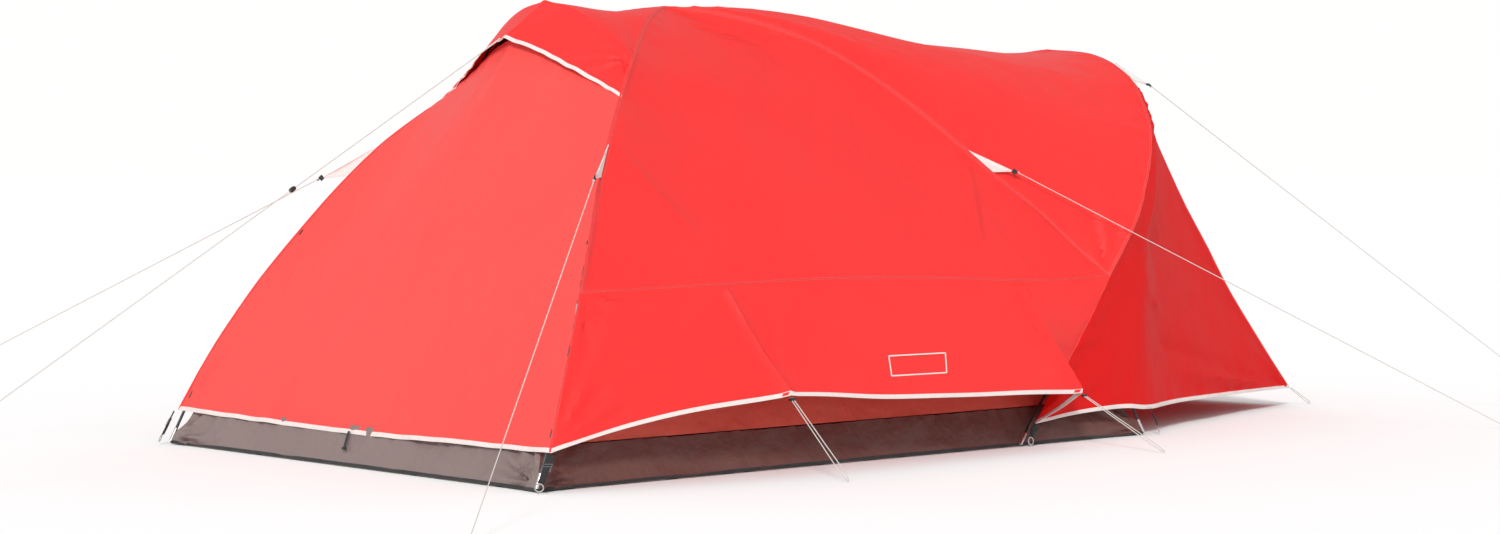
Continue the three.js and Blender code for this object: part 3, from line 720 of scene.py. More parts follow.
# ---------- set ----------
FLOOR_RADIUS = 300.0
SUN_FROM, SUN_STRENGTH, SUN_ANGLE = (-0.66, -0.52, 0.54), 2.15, 9
def make_set():
    camera = bpy.data.objects.new("camera", bpy.data.cameras.new("camera"))
    camera.data.sensor_width, camera.data.lens = 36.0, 69.28
    camera.data.clip_end = 900.0
    camera.location = (-6.6544, -7.7262, 0.9545)
    camera.rotation_euler = (math.radians(88.069), 0, math.radians(-42.423))
    bpy.context.scene.collection.objects.link(camera)
    bpy.context.scene.camera = camera
    world = bpy.data.worlds.new("studio")
    world.use_nodes = True
    tree = world.node_tree
    sky, coordinate = tree.nodes["Background"], tree.nodes.new("ShaderNodeTexCoord")
    height, ramp = tree.nodes.new("ShaderNodeSeparateXYZ"), tree.nodes.new("ShaderNodeValToRGB")
    tree.links.new(coordinate.outputs["Generated"], height.inputs[0])
    tree.links.new(height.outputs[2], ramp.inputs[0])
    tree.links.new(ramp.outputs[0], sky.inputs[0])
    ramp.color_ramp.elements[0].position, ramp.color_ramp.elements[1].position = 0.12, 0.75
    ramp.color_ramp.elements[0].color = (1.0, 1.0, 0.995, 1)
    ramp.color_ramp.elements[1].color = (0.64, 0.64, 0.65, 1)
    bpy.context.scene.world = world
    bpy.context.scene.view_settings.view_transform = "Standard"
    sun = bpy.data.objects.new("soft_sun", bpy.data.lights.new("soft_sun", "SUN"))
    sun.data.energy, sun.data.angle = SUN_STRENGTH, math.radians(SUN_ANGLE)
    sun.rotation_euler = Vector(SUN_FROM).to_track_quat("Z", "Y").to_euler()
    bpy.context.scene.collection.objects.link(sun)
    work = bmesh.new()
    bmesh.ops.create_circle(work, cap_ends=True, segments=96, radius=FLOOR_RADIUS)
    mesh = bpy.data.meshes.new("floor")
    work.to_mesh(mesh)
    work.free()
    floor = bpy.data.objects.new("floor", mesh)
    floor.location.z = -0.0008
    net = Net("floor_paint", (0.93, 0.93, 0.925), 0.9, Specular_IOR_Level=0.0)
    net.value("Base Color", net.blend(net.noise(1.5), (0.925, 0.925, 0.92), (0.935, 0.935, 0.93)))
    mesh.materials.append(net.material)
    bpy.context.scene.collection.objects.link(floor)


make_set()

# ---------- panels ----------
SUB = 10                      # grid steps between two points of a curve
REAR_SLACK, SIDE_SLACK = 0.55, 0.35
INNER_SLACK, INNER_FRONT_SLACK = (0.9, 4), (1.0, 6)     # each a slack and its sharpness
INNER_COLUMNS, CLOTH_ROWS = 54, 24
DOOR_ROWS, DOOR_COLUMNS = 36, (12, 42)
RIDGES = {side: spline(rear_ridge(side), SUB) for _, side in SIDES}
FRONTS = {side: spline(front_ridge(side), SUB) for _, side in SIDES}
HOOPS = {side: spline(hoop(side), SUB) for _, side in SIDES}
SEAMS = {side: spline(side_seam(side), SUB) for _, side in SIDES}
NOSES = {side: spline(nose_seam(side), SUB) for _, side in SIDES}


def tip_row(point, columns):
    return np.repeat(point[None], columns, axis=0)


def across(near_grid):
    """A near grid that ends on the middle plane, carried on to the far side."""
    return np.concatenate([near_grid, near_grid[:, -2::-1] * [1, -1, 1]], axis=1)


HEMMED = ("bottom", BINDING_PROFILE, 1), ("left", SEAM_PROFILE, 2), ("right", SEAM_PROFILE, 2)
SEAMED = ("bottom", SEAM_PROFILE, 1), ("left", SEAM_PROFILE, 1), ("right", SEAM_PROFILE, 1)


def sew(grid, *strips):
    """One closed cloth shell with its strips: each is (edge, profile, material number)."""
    shape = Shape()
    shape.shell(grid)
    for edge, profile, mat in strips:
        band(shape, grid, edge, profile, mat)
    return shape


def panel(name, node, grid, strips, materials, *rests_on, slot="fly_fabric"):
    piece = sew(grid, *strips).make(name, materials, slot=slot, replaces=(node,))
    declare(piece, grid, *rests_on)


TUCK = sill(NEAR) + (brow(NEAR) - sill(NEAR)) * np.array([[0.0], [0.24], [0.24], [0.22], [0.20]])
TUCK[0] = brim(NEAR)[0]


def make_rear():
    hem, top = mirrored(spline(REAR_HEM, SUB)), mirrored(spline(TUCK, SUB))
    count = BRIM_STEP * SUB + 1
    grid = fill(hem, top, RIDGES[NEAR][:count], RIDGES[FAR][:count], REAR_SLACK)
    corner = {side: grid[0, 0 if side == NEAR else -1] for _, side in SIDES}
    fields = [
        billow(0.0035, 0.5, 11),
        pucker("left", 0.0022, 0.09, 0.07, 12), pucker("right", 0.0022, 0.09, 0.07, 13),
        pucker("top", 0.0016, 0.05, 0.05, 14), pucker("bottom", 0.0022, 0.16, 0.09, 15),
        rays(corner[NEAR], 0.0030, 11, 0.16, 0.20, 16), rays(corner[FAR], 0.0030, 11, 0.16, 0.20, 17),
    ]
    grid = drawn(grid, fields, ("left", "right", "top"))
    panel("rear_panel", "fly_rear", grid, HEMMED, [REAR_RED_PAINTED_LIGHT, WHITE_TAPE, RED_TAPE], "main_pole_a_rear",
          "main_pole_b_rear", slot="rear_fabric")


def make_hood():
    brim_line, brow_line = spline(brim(NEAR), SUB), spline(brow(NEAR), SUB)
    rise = RIDGES[NEAR][BROW_STEP * SUB:]
    crown = fill(brow_line, tip_row(CREST, len(brow_line)), rise, spline(HOOD_LINE, SUB))
    visor = straight(brim_line, brow_line, 2 * SUB)
    grid = across(np.concatenate([visor, crown[1:]]))
    fields = [
        billow(0.002, 0.3, 21),
        pucker("left", 0.0014, 0.05, 0.05, 22), pucker("right", 0.0014, 0.05, 0.05, 23),
        pucker("bottom", 0.0012, 0.06, 0.05, 24),
        rays(brow_line[0], 0.0032, 9, 0.05, 0.09, 25),
        rays(brow_line[0] * [1, -1, 1], 0.0032, 9, 0.05, 0.09, 26),
        crease(brow_line[0], brow_line[-1], 0.0025, 0.012, 0.02),
    ]
    grid = drawn(grid, fields, ("left", "right", "top"), 0.02)
    panel("hood_panel", "fly_hood", grid, HEMMED, [RED, WHITE_TAPE, RED_TAPE],
          "brow_pole", "main_pole_a_rear")


def make_vent():
    low = inset(spline(TUCK[1:], SUB), 0.014)
    high = inset(spline(brow(NEAR)[1:], SUB), 0.024)
    grid = across(straight(low, high, 2 * SUB))
    grid = drawn(grid, [billow(0.004, 0.2, 31)])
    panel("vent_mesh", "fly_vent_mesh", grid, (), [NETTING], "brow_pole", "main_pole_b_rear",
          slot="mesh_fabric")


def make_side(label, side):
    seam, rear, front = SEAMS[side], RIDGES[side][SIDE_SEAM_STEP * SUB:], FRONTS[side]
    grid = fill(seam, tip_row(CREST, len(seam)), rear, front, SIDE_SLACK)
    s = 40 + side
    front_flap, rear_flap = at(side, [[868, 643, 1022], [-786, 637, 1032]])
    front_low, rear_low = at(side, [[640, 900, 640], [-560, 850, 720]])
    fields = [
        billow(0.0045, 0.55, s), billow(0.0012, 0.16, s + 2),
        pucker("left", 0.0016, 0.07, 0.06, s + 4), pucker("right", 0.0026, 0.06, 0.07, s + 6),
        pucker("bottom", 0.0020, 0.11, 0.08, s + 8),
        crease(front_flap, front_low, 0.006, 0.022), crease(rear_flap, rear_low, 0.004, 0.024),
        crease(FRONTS[side][75], FRONTS[side][95] + at(side, [-120, 60, -60]), -0.004, 0.012),
        crease(FRONTS[side][70], FRONTS[side][88] + at(side, [-150, 90, -90]), 0.004, 0.014),
        rays(seam[0], 0.0032, 10, 0.10, 0.22, s + 10),
    ]
    grid = drawn(grid, fields, ("left", "right", "bottom", "top"))
    panel("side_panel_" + label, "fly_side_" + label, grid, SEAMED, [RED, RED_TAPE], "main_pole_a_rear",
          "main_pole_a_front", "main_pole_b_front")


PATCH_PROFILE = np.array([[0, -0.7], [0, 0.8], [5, 0.8], [5, -0.7]]) * MM
PATCH_CORNERS = ((7, 47), (8, 55), (15, 56), (14, 48))


def make_skirt(label, side):
    seam = SEAMS[side]
    hem = spline(skirt_hem(side), SUB, (AWNING_REAR, AWNING_FRONT))
    rear = RIDGES[side][:SIDE_SEAM_STEP * SUB + 1]
    front = HOOPS[side][:HOOP_CROSSES_RIDGE * SUB + 1]
    rows = len(rear) - 1

    def post(step):
        return straight(hem[step * SUB], seam[step * SUB], rows)

    marks = [(0, rear), (AWNING_REAR, post(AWNING_REAR)), (AWNING_FRONT, post(AWNING_FRONT)), (10, front)]
    parts = [fill(hem[a * SUB:b * SUB + 1], seam[a * SUB:b * SUB + 1], left, right)
             for (a, left), (b, right) in zip(marks, marks[1:])]
    grid = np.concatenate([parts[0]] + [p[:, 1:] for p in parts[1:]], axis=1)
    s = 60 + side
    near_corner, seam_start = hem[0], seam[0]
    fields = [
        billow(0.0035, 0.35, s),
        pucker("top", 0.0018, 0.12, 0.06, s + 2),
        rays(near_corner, 0.0060, 12, 0.20, 0.30, s + 4), rays(seam_start, 0.0035, 9, 0.08, 0.15, s + 6),
        *[crease(near_corner, seam[k] * (1 - t) + hem[AWNING_REAR * SUB] * t, depth, width, 0.4)
          for k, t, depth, width in (
              (8, 0, 0.004, 0.016), (13, 0, -0.004, 0.014), (18, 0, 0.005, 0.015), (23, 0, -0.005, 0.015),
              (28, 0.05, 0.005, 0.016), (30, 0.3, -0.004, 0.016), (30, 0.55, 0.003, 0.018))],
        *[crease(hem[k], seam[m], depth, 0.016, 0.45) for k, m, depth in (
            (AWNING_REAR * SUB, 36, 0.003), (AWNING_REAR * SUB, 41, -0.003), (AWNING_REAR * SUB, 46, 0.002),
            (AWNING_FRONT * SUB, 66, 0.003), (AWNING_FRONT * SUB, 62, -0.002))],
        crease(hem[AWNING_REAR * SUB], seam[AWNING_REAR * SUB], 0.005, 0.012, 0.04),
        crease(hem[AWNING_FRONT * SUB], seam[AWNING_FRONT * SUB], 0.005, 0.012, 0.04),
        pucker("right", 0.0028, 0.07, 0.08, s + 8),
    ]
    grid = drawn(grid, fields, ("left", "right", "top"), 0.025)
    shape = sew(grid, ("bottom", BINDING_PROFILE, 1))
    if side == NEAR:
        lifted = grid + outward(grid) * 0.0008
        low_rear, low_front, high_front, high_rear = (lifted[k] for k in PATCH_CORNERS)
        patch = straight(low_rear, low_front, 8)[None] + np.linspace(0, 1, 7)[:, None, None] * (
            straight(high_rear, high_front, 8) - straight(low_rear, low_front, 8))[None]
        for edge in ("left", "right", "bottom", "top"):
            band(shape, patch, edge, PATCH_PROFILE, 1)
    piece = shape.make("skirt_panel_" + label, [RED, WHITE_TAPE], slot="fly_fabric",
                       replaces=("fly_skirt_" + label,))
    declare(piece, grid, "awning_line_rear_" + label + "_cord", "main_pole_a_rear")


def make_flank(label, side):
    rise = NOSES[side][::-1]
    foot = spline(vestibule_hem(side), SUB)
    grid = fill(foot, tip_row(rise[-1], len(foot)), HOOPS[side][:SHOULDER_STEP * SUB + 1], rise)
    s = 80 + side
    fields = [
        billow(0.004, 0.4, s), pucker("left", 0.0040, 0.075, 0.10, s + 2),
        pucker("right", 0.0020, 0.09, 0.07, s + 4),
        pucker("bottom", 0.0020, 0.16, 0.09, s + 6), rays(foot[0], 0.004, 11, 0.12, 0.2, s + 8),
        rays(foot[-1], 0.004, 10, 0.10, 0.22, s + 10),
        *[crease(foot[-1], HOOPS[side][k] * (1 - t) + foot[20] * t, depth, 0.020, 0.3)
          for k, t, depth in ((60, 0, 0.005), (50, 0, -0.006), (40, 0, 0.006), (30, 0.1, -0.005),
                              (20, 0.2, 0.005), (10, 0.4, -0.004))],
    ]
    grid = drawn(grid, fields, ("left", "right", "top"))
    panel("flank_panel_" + label, "vestibule_side_" + label, grid, HEMMED, [FLANK_RED_PAINTED_SHADE, WHITE_TAPE, RED_TAPE],
          "vestibule_pole")


def make_roof():
    arc = HOOPS[NEAR][HOOP_CROSSES_RIDGE * SUB:]
    half = fill(arc, tip_row(CREST, len(arc)), FRONTS[NEAR], spline(ROOF_LINE, SUB))
    grid = across(half)
    fields = [
        billow(0.0045, 0.5, 101),
        pucker("left", 0.0026, 0.06, 0.07, 102), pucker("right", 0.0026, 0.06, 0.07, 103),
        pucker("bottom", 0.0034, 0.08, 0.09, 104), rays(arc[0], 0.005, 9, 0.1, 0.25, 105),
    ]
    grid = drawn(grid, fields, ("left", "right", "bottom", "top"))
    panel("roof_panel", "fly_roof", grid, SEAMED, [RED, RED_TAPE], "main_pole_a_front", "vestibule_pole")


def front_grid():
    top = mirrored(HOOPS[NEAR][SHOULDER_STEP * SUB:])
    seam = NOSES[NEAR]
    chord = seam[-1] - seam[0]
    f = ((seam - seam[0]) @ chord) / (chord @ chord)
    dip = seam - seam[0] - f[:, None] * chord
    u = np.linspace(-1, 1, len(top))
    foot = np.stack([2.800 + 0.038 * u ** 2, 0.580 * u, 0.066 + 0.006 * u ** 2], -1)
    base = top[None] + f[:, None, None] * (foot - top)[None]
    sway = np.stack([dip[:, None, 0] + 0 * u, -u * dip[:, None, 1], dip[:, None, 2] + 0 * u], -1)
    return base + sway * (u ** 4)[None, :, None]


FRONT_DOOR = {"first": 2, "last": 6, "row": 1}


def make_front():
    fields = [
        billow(0.0018, 0.35, 121), pucker("top", 0.0015, 0.07, 0.05, 122),
        pucker("left", 0.0015, 0.08, 0.05, 123), pucker("right", 0.0015, 0.08, 0.05, 124),
    ]
    grid = drawn(front_grid(), fields, ("left", "right", "bottom"))
    a, b, r = FRONT_DOOR["first"] * SUB, FRONT_DOOR["last"] * SUB, FRONT_DOOR["row"] * SUB
    kept = np.ones((grid.shape[0] - 1, grid.shape[1] - 1), bool)
    kept[r:, a:b] = False
    shape = Shape()
    shape.shell(grid, kept=kept)
    for span in ((0, a / (grid.shape[1] - 1)), (b / (grid.shape[1] - 1), 1)):
        band(shape, grid, "top", BINDING_PROFILE, 1, 1, span)
    piece = shape.make("nose_panel", [RED, WHITE_TAPE], slot="fly_fabric", replaces=("vestibule_front",))
    leaf = grid[r:, a:b + 1]
    middle = leaf[:, leaf.shape[1] // 2][:, None]
    leaf = leaf + (middle - leaf) * 0.006
    leaf = leaf + (leaf[-1:] - leaf[:1]) * 0.0022 * np.linspace(1, 0, len(leaf))[:, None, None]
    shape = sew(leaf, ("top", BINDING_PROFILE, 1), ("left", ZIP_PROFILE, 2))
    piece = shape.make("door_leaf", [RED, WHITE_TAPE, COIL], "vestibule_leaf", "fly_fabric",
                       ("vestibule_door",))
    declare(piece, leaf, "nose_panel")


ZIP_PROFILE = np.array([[0, -1.6], [0, 1.0], [3, 1.8], [6, 1.0], [24, 0.7], [24, -1.6]]) * MM


def inner_corner(side, end):
    return at(side, [[end * 1316.5, 960, 130]])


def inner_edge(side, end):
    """Edge of the inner tent under one pole leg."""
    if end < 0:
        ridge, low, picks = rear_ridge(side), np.empty((0, 3)), [2, 4, 5, 6, 7, 8, 10, 11, 12, 14]
    else:
        ridge, picks = front_ridge(side), [4, 5, 6, 7, 8, 10]
        low = at(side, [[1272, 932, 260], [1178, 862, 460], [1060, 772, 655], [955, 696, 815]])
    return spline(np.vstack([inner_corner(side, end), low, inset(ridge[picks], INNER_DROP)]), 6)


def inner_grid(left, right, slack, sharpness):
    foot = straight(left[0], right[0], INNER_COLUMNS)
    return fill(foot, tip_row(left[-1], len(foot)), left, right, slack, sharpness)


def make_inner():
    edges = {(side, end): inner_edge(side, end) for _, side in SIDES for end in (-1, 1)}
    walls = {
        "rear": (edges[NEAR, -1], edges[FAR, -1]), "near": (edges[NEAR, -1], edges[NEAR, 1]),
        "far": (edges[FAR, -1], edges[FAR, 1]), "front": (edges[NEAR, 1], edges[FAR, 1])}
    for k, (name, (left, right)) in enumerate(walls.items()):
        slack, sharpness = INNER_FRONT_SLACK if name == "front" else INNER_SLACK
        grid = drawn(inner_grid(left, right, slack, sharpness), [billow(0.002, 0.3, 140 + k)])
        door = np.zeros((grid.shape[0] - 1, grid.shape[1] - 1), bool)
        if name == "front":
            door[:DOOR_ROWS, slice(*DOOR_COLUMNS)] = True
        cloth_rows = np.zeros_like(door)
        cloth_rows[:CLOTH_ROWS] = True
        low, high = Shape(), Shape()
        low.shell(grid, kept=cloth_rows & ~door)
        band(low, grid, "left", SEAM_PROFILE, 1, 2)
        band(low, grid, "right", SEAM_PROFILE, 1, 2)
        high.shell(grid, kept=~cloth_rows & ~door)
        wall = low.make("inner_cloth_" + name, [INNER_PAINTED_RED_LIGHT, STRAP], slot="inner_fabric",
                        replaces=("inner_wall_" + name,))
        net = high.make("inner_net_" + name, [INNER_NET], slot="inner_fabric")
        if name == "front":
            leaf = grid[:DOOR_ROWS + 1, DOOR_COLUMNS[0]:DOOR_COLUMNS[1] + 1]
            middle = leaf[:, leaf.shape[1] // 2][:, None]
            leaf = leaf + (middle - leaf) * 0.009
            leaf = leaf + (leaf[-1:] - leaf[:1]) * 0.003 * np.linspace(1, -1, len(leaf))[:, None, None]
            shape = Shape()
            shape.shell(leaf)
            for edge in ("left", "right", "bottom", "top"):
                band(shape, leaf, edge, TAPE_PROFILE, 1)
            piece = shape.make("inner_door_leaf", [INNER_NET, STRAP], "inner_leaf", "mesh_fabric",
                               ("inner_door",))
            declare(piece, leaf, "inner_cloth_front")


TAPE_PROFILE = np.array([[0.1, -1.3], [0.1, 0.6], [12, 0.6], [12, -1.3]]) * MM


def make_tub():
    """Tub walls pleated where the floor is drawn out at its corners, and the floor with its crinkles."""
    names = {"near": ((-1, NEAR), (1, NEAR)), "far": ((-1, FAR), (1, FAR)), "rear": ((-1, NEAR), (-1, FAR)),
             "front": ((1, NEAR), (1, FAR))}
    for k, (name, (a, b)) in enumerate(names.items()):
        low_a, low_b = (np.array([x * HALF_LENGTH, y * HALF_WIDTH, 0.003]) for x, y in (a, b))
        high_a, high_b = (np.array([x * (HALF_LENGTH - TUB_LEAN), y * (HALF_WIDTH - TUB_LEAN), TUB_HEIGHT])
                          for x, y in (a, b))
        cols, rows = 150, 16
        low, high = straight(low_a, low_b, cols), straight(high_a, high_b, cols)
        grid = low[None] + np.linspace(0, 1, rows + 1)[:, None, None] * (high - low)[None]
        v = np.linspace(0, 1, rows + 1)[:, None]
        for end, corner in ((0, a), (1, b)):
            away = np.linalg.norm(low - low[0 if end == 0 else -1], axis=1)[None]
            out = unit(np.array([corner[0], corner[1], 0.0]))
            grid = grid + out * (0.030 * np.exp(-away / 0.07) * np.exp(-((v - 0.2) / 0.28) ** 2))[..., None]
        fields = [billow(0.0035, 0.22, 160 + k), billow(0.0016, 0.07, 170 + k),
                  pucker("top", 0.0022, 0.06, 0.05, 180 + k),
                  rays(low_a + [0, 0, 0.02], 0.006, 13, 0.08, 0.16, 190 + k),
                  rays(low_b + [0, 0, 0.02], 0.006, 13, 0.08, 0.16, 194 + k)]
        grid = drawn(grid, fields, ("left", "right", "bottom"), 0.012)
        grid[..., 2] = np.maximum(grid[..., 2], 0.0015)
        # The near and far walls take the copy with painted shade and painted red light.
        cloth = TUB_SIDE_PAINTED_SHADE if name in ("near", "far") else TUB
        panel("tub_cloth_" + name, "tub_wall_" + name, grid, [("bottom", SEAM_PROFILE, 1)], [cloth, STRAP],
              "floor_cloth", slot="tub_fabric")
    count = 60
    x, y = np.linspace(-HALF_LENGTH, HALF_LENGTH, count + 1), np.linspace(-HALF_WIDTH, HALF_WIDTH, count + 1)
    grid = np.stack([*np.meshgrid(x, y), np.full((count + 1, count + 1), 0.0022)], -1)
    grid[..., 2] += 0.0006 * lump(grid, 0.25, 199)
    shape = Shape()
    shape.shell(grid, 0.0012)
    piece = shape.make("floor_cloth", [TUB], slot="tub_fabric", replaces=("tub_floor",))


make_rear()
make_hood()
make_vent()
for label, side in SIDES:
    make_side(label, side)
    make_skirt(label, side)
    make_flank(label, side)
make_roof()
make_front()
make_inner()
make_tub()


# ---------- poles ----------
def rod(name, path, radius, replaces, tips=()):
    """Pole sections joined by ferrules, with metal ends."""
    path = spline(path, 12)
    run = run_of(path[None])[0]
    even = np.linspace(0, run[-1], max(40, int(run[-1] / 0.012)))
    path = np.stack([np.interp(even, run, path[:, c]) for c in range(3)], -1)
    shape = Shape()
    shape.tube(path, radius, 0, 14)
    joints = np.arange(0.55, run[-1] - 0.2, 0.58)
    for joint in joints:
        inside = (even > joint) & (even < joint + 0.07)
        if inside.sum() > 2:
            shape.tube(path[inside], radius + 0.0006, 1, 14)
    for end in tips:
        tip = path[:5] if end == 0 else path[-5:]
        shape.tube(tip, radius + 0.0012, 1, 14)
    shape.make(name, [POLE, STEEL], slot="pole", replaces=replaces)


def make_poles():
    over = CREST - [0, 0, POLE_DROP]
    under = over - [0, 0, CROSSING_STEP]

    def rear_path(side, top):
        return np.vstack([at(side, [[-1386, 1026, 12]]), inset(rear_ridge(side)[1:-1], POLE_DROP), top])

    def front_path(side, top):
        return np.vstack([front_leg(side), inset(front_ridge(side)[4:-1], POLE_DROP), top])

    halves = (("a_rear", rear_path, NEAR, over, -1), ("a_front", front_path, FAR, over, 1),
              ("b_rear", rear_path, FAR, under, -1), ("b_front", front_path, NEAR, under, 1))
    for name, path, side, top, back in halves:
        end = top + [back * 0.0008, side * 0.0006, 0]
        rod("pole_" + name, path(side, end), POLE_RADIUS, ("main_pole_" + name,), (0,))
    arch = inset(brow(NEAR), BROW_DROP)
    arch[0] = arch[0] * 0.7 + arch[1] * 0.3
    rod("pole_brow", mirrored(arch), BROW_RADIUS, ("brow_pole",))
    bow = np.vstack([at(NEAR, [[730, 1029, 8]]), inset(hoop(NEAR), HOOP_DROP)])
    rod("pole_hoop", mirrored(bow), POLE_RADIUS, ("vestibule_pole",), (0, 1))


# ---------- straps, flaps and cords ----------
def strap_path(a, b, sag, count=14):
    line = straight(a, b, count)
    t = np.linspace(0, 1, count + 1)
    line[:, 2] -= sag * np.sin(math.pi * t)
    return line


def ribbon(shape, line, across_way, width, thick, mat=0):
    tangent = unit(np.gradient(line, axis=0))
    side = unit(np.cross(np.cross(tangent, across_way), tangent))
    face = np.cross(tangent, side)
    w, h = width / 2, thick / 2
    corners = [(-w, -h * 0.4), (-w + h, -h), (w - h, -h), (w, -h * 0.4),
               (w, h * 0.4), (w - h, h), (-w + h, h), (-w, h * 0.4)]
    rings = np.stack([line + x * side + y * face for x, y in corners], 1)
    run = run_of(line[None])[0]
    girth = np.array([0, 1, 9, 10, 11, 12, 20, 21]) / 20 * width
    shape.sweep(rings, run, girth, mat)


def ladder_lock(shape, centre, along, across_way, mat):
    along, across_way = unit(along), unit(across_way)
    for offset in (-0.0125, -0.0045, 0.0045, 0.0125):
        shape.block(centre + along * offset, (across_way, along), (0.030, 0.0032, 0.0048), mat)
    for sign in (-1, 1):
        shape.block(centre + across_way * sign * 0.0135, (along, across_way), (0.028, 0.0034, 0.0046), mat)


def make_straps():
    spots = {
        "corner_tether_rear": ([-1353, 1056, 112], [-1398, 1062, 31], [1, 1, 0]),
        "corner_tether_front": ([1412, 1040, 96], [1437, 1050, 31], [1, -1, 0]),
        "side_tether": ([790, 1046, 76], [764, 1050, 31], [1, 0, 0])}
    for label, side in SIDES:
        for name, (top, ring, way) in spots.items():
            a, b = at(side, [top])[0], at(side, [ring])[0]
            way = unit(np.array(way) * [1, side, 1])
            down = unit(b - a)
            shape = Shape()
            ribbon(shape, strap_path(a, b, -0.001), way, 0.020, 0.0016)
            mid = a + (b - a) * 0.46
            face = unit(np.cross(down, way))
            folded = strap_path(mid + face * 0.003, b - down * 0.004 + face * 0.0035, 0.001)
            ribbon(shape, folded, way, 0.019, 0.0014)
            ladder_lock(shape, mid, down, way, 1)
            shape.ring(b + down * 0.013, np.cross(down, way), 0.0125, 0.0020, 2, lead=tuple(way))
            shape.make(name + "_" + label + "_strap", [STRAP, PLASTIC, STEEL], slot="strap",
                       replaces=(name + "_" + label,))


GUYS = {
    "rear": ([-786, 637, 1032], [-872, 703, 928], [-938, 754, 926], [-2240, 1830, 2], [-2300, 1890, 2]),
    "front": ([868, 643, 1022], [942, 697, 943], [1006, 744, 948], [2580, 1770, 2], [2580, 1770, 2]),
    "shoulder": ([1960, 394, 1368], [1896, 552, 1290], [1930, 590, 1280], [3470, 1470, 2], [3470, 1470, 2])}
HEM_LINES = {
    "awning_line_rear": ([-520, 1204, 246], [-498, 1436, 3]),
    "awning_line_front": ([862, 1195, 183], [923, 1508, 3]),
    "nose_line": ([2843, 583, 70], [2950, 600, 3])}
FLAP_LIFT, FLAP_BUCKLE = 0.004, 0.020


def make_flap(name, label, side, top, low, tip):
    """Folded triangle of binding cloth with a raised border and a slotted buckle at its tip."""
    lift = inward(low) * -FLAP_LIFT
    a, b = top + lift, low + lift
    n = unit(np.cross(b - a, tip - a))
    count = 12
    grid = np.empty((count + 1, count + 1, 3))
    for j, v in enumerate(np.linspace(0, 1, count + 1)):
        left, right = a + (tip - a) * v * 0.93, b + (tip - b) * v * 0.93
        grid[j] = straight(left, right, count)
    u = np.linspace(-1, 1, count + 1)[None]
    v = np.linspace(0, 1, count + 1)[:, None]
    grid = grid + n * (0.0035 * (1 - u ** 2) * np.sin(math.pi * v))[..., None]
    shape = Shape()
    shape.shell(grid, 0.0016)
    for edge in ("left", "right"):
        band(shape, grid, edge, TAPE_PROFILE * [0.8, 1.6], 1)
    out = unit(tip - (top + low) / 2)
    shape.block(tip, (low - top, out), (0.016, 0.017, 0.0036), 2)
    shape.block(tip + out * 0.006, (low - top, out), (0.019, 0.004, 0.0052), 2)
    shape.make("guy_flap_" + name + "_" + label + "_cloth", [FLAP, WHITE_TAPE, PLASTIC], slot="webbing",
               replaces=("guy_flap_" + name + "_" + label,))
    return out


def line_cord(name, path, node):
    """A taut cord as a braided tube."""
    path = np.asarray(path, float)
    path[:, 2] = np.maximum(path[:, 2], CORD_RADIUS + 0.0004)
    shape = Shape()
    shape.tube(path, CORD_RADIUS, 0, 10)
    piece = shape.make(name, [CORD_WITH_PAINTED_SHADE], slot="guy_cord", replaces=(node,))


def knot(name, centre, along, size=0.0042):
    """Small overhand knot: a trefoil turn of the cord."""
    z = unit(along)
    x = unit(np.cross(z, [0.2, 0.5, 0.8]))
    y = np.cross(z, x)
    t = np.linspace(0, TURN, 64, endpoint=False)
    trefoil = [np.sin(t) + 2 * np.sin(2 * t), np.cos(t) - 2 * np.cos(2 * t), -1.1 * np.sin(3 * t)]
    p = np.stack(trefoil, -1) * size / 3
    line = centre + p[:, :1] * x + p[:, 1:2] * y + p[:, 2:] * z
    line = np.vstack([line, line[:1]])
    shape = Shape()
    shape.tube(line, CORD_RADIUS * 0.95, 0, 8)
    return shape.make(name, [CORD_WITH_PAINTED_SHADE], slot="guy_cord")


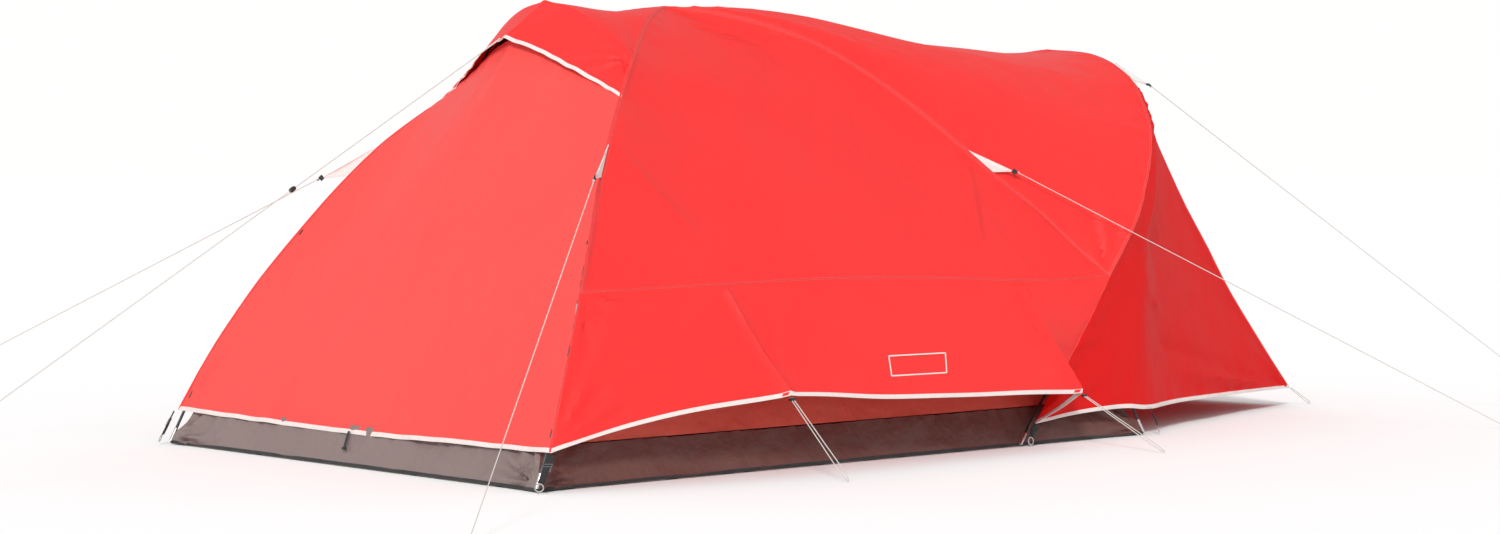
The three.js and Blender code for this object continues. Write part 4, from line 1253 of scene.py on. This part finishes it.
def make_cords():
    for name, (top, low, tip, *grounds) in GUYS.items():
        for (label, side), ground in zip(SIDES, grounds):
            top_p, low_p, tip_p, end = (at(side, [p])[0] for p in (top, low, tip, ground))
            out = make_flap(name, label, side, top_p, low_p, tip_p)
            start = tip_p + out * (FLAP_BUCKLE / 2 + CORD_RADIUS + 0.00025)
            way = unit(end - start)
            tied = knot("guy_%s_%s_knot" % (name, label), start + way * 0.004, way)
            line_cord("guy_%s_%s_cord" % (name, label), straight(start, end, 60),
                      "guy_%s_%s" % (name, label))
    top, end = np.array([-0.722, 0, 1.396]), np.array([-3.030, 0, 0.002])
    way = unit(end - top)
    start = top + way * 0.006
    tied = knot("guy_brim_knot", start + way * 0.004, way)
    line_cord("guy_brim_cord", straight(start, end, 60), "guy_brim")
    for label, side in SIDES:
        for name, (hem_point, ground) in HEM_LINES.items():
            a, g = at(side, [hem_point])[0], at(side, [ground])[0]
            across_way, down = np.array([1.0, 0, 0]), unit(g - a)
            left, right = -0.008 * across_way, 0.008 * across_way
            low = a + (g - a) * 0.93
            path = np.array([a + left * 0.6, (a + g) / 2 + left, low + left, g - down * 0.001, low + right,
                             (a + g) / 2 + right, a + right * 0.6])
            line_cord(name + "_" + label + "_cord", spline(path, 10), name + "_" + label)


# ---------- small hardware ----------
def make_toggles():
    shape = Shape()
    tail = np.array([[-1.3452, 0, 0.112], [-1.3545, 0, 0.090], [-1.3640, 0, 0.062]])
    ribbon(shape, tail, (0, 1, 0), 0.012, 0.0014)
    shape.block(np.array([-1.3655, 0, 0.057]), ((0, 1, 0), (-0.3, 0, 1)), (0.020, 0.008, 0.006), 1)
    shape.make("rear_hem_toggle", [STRAP, PLASTIC], slot="hardware")
    for label, side in SIDES:
        for name in ("rear", "front"):
            a, g = (at(side, [p])[0] for p in HEM_LINES["awning_line_" + name])
            down = unit(g - a)
            shape = Shape()
            shape.block(a + down * 0.008, ((1, 0, 0), down), (0.024, 0.009, 0.008))
            shape.make("awning_toggle_%s_%s" % (name, label), [PLASTIC], slot="hardware")


def make_hardware():
    clips = ["pole_clip_%s_%s" % (end, label) for end in ("rear", "front") for label, _ in SIDES]
    for node in ("vestibule_zip_slider", "inner_door_slider", "guy_tensioner", *clips):
        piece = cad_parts[node]
        piece.data.materials.clear()
        piece.data.materials.append(PLASTIC)
        eased = piece.modifiers.new("eased", "BEVEL")
        eased.width, eased.segments, eased.limit_method = 0.0005, 2, "ANGLE"


make_poles()
make_straps()
make_cords()
make_toggles()
make_hardware()
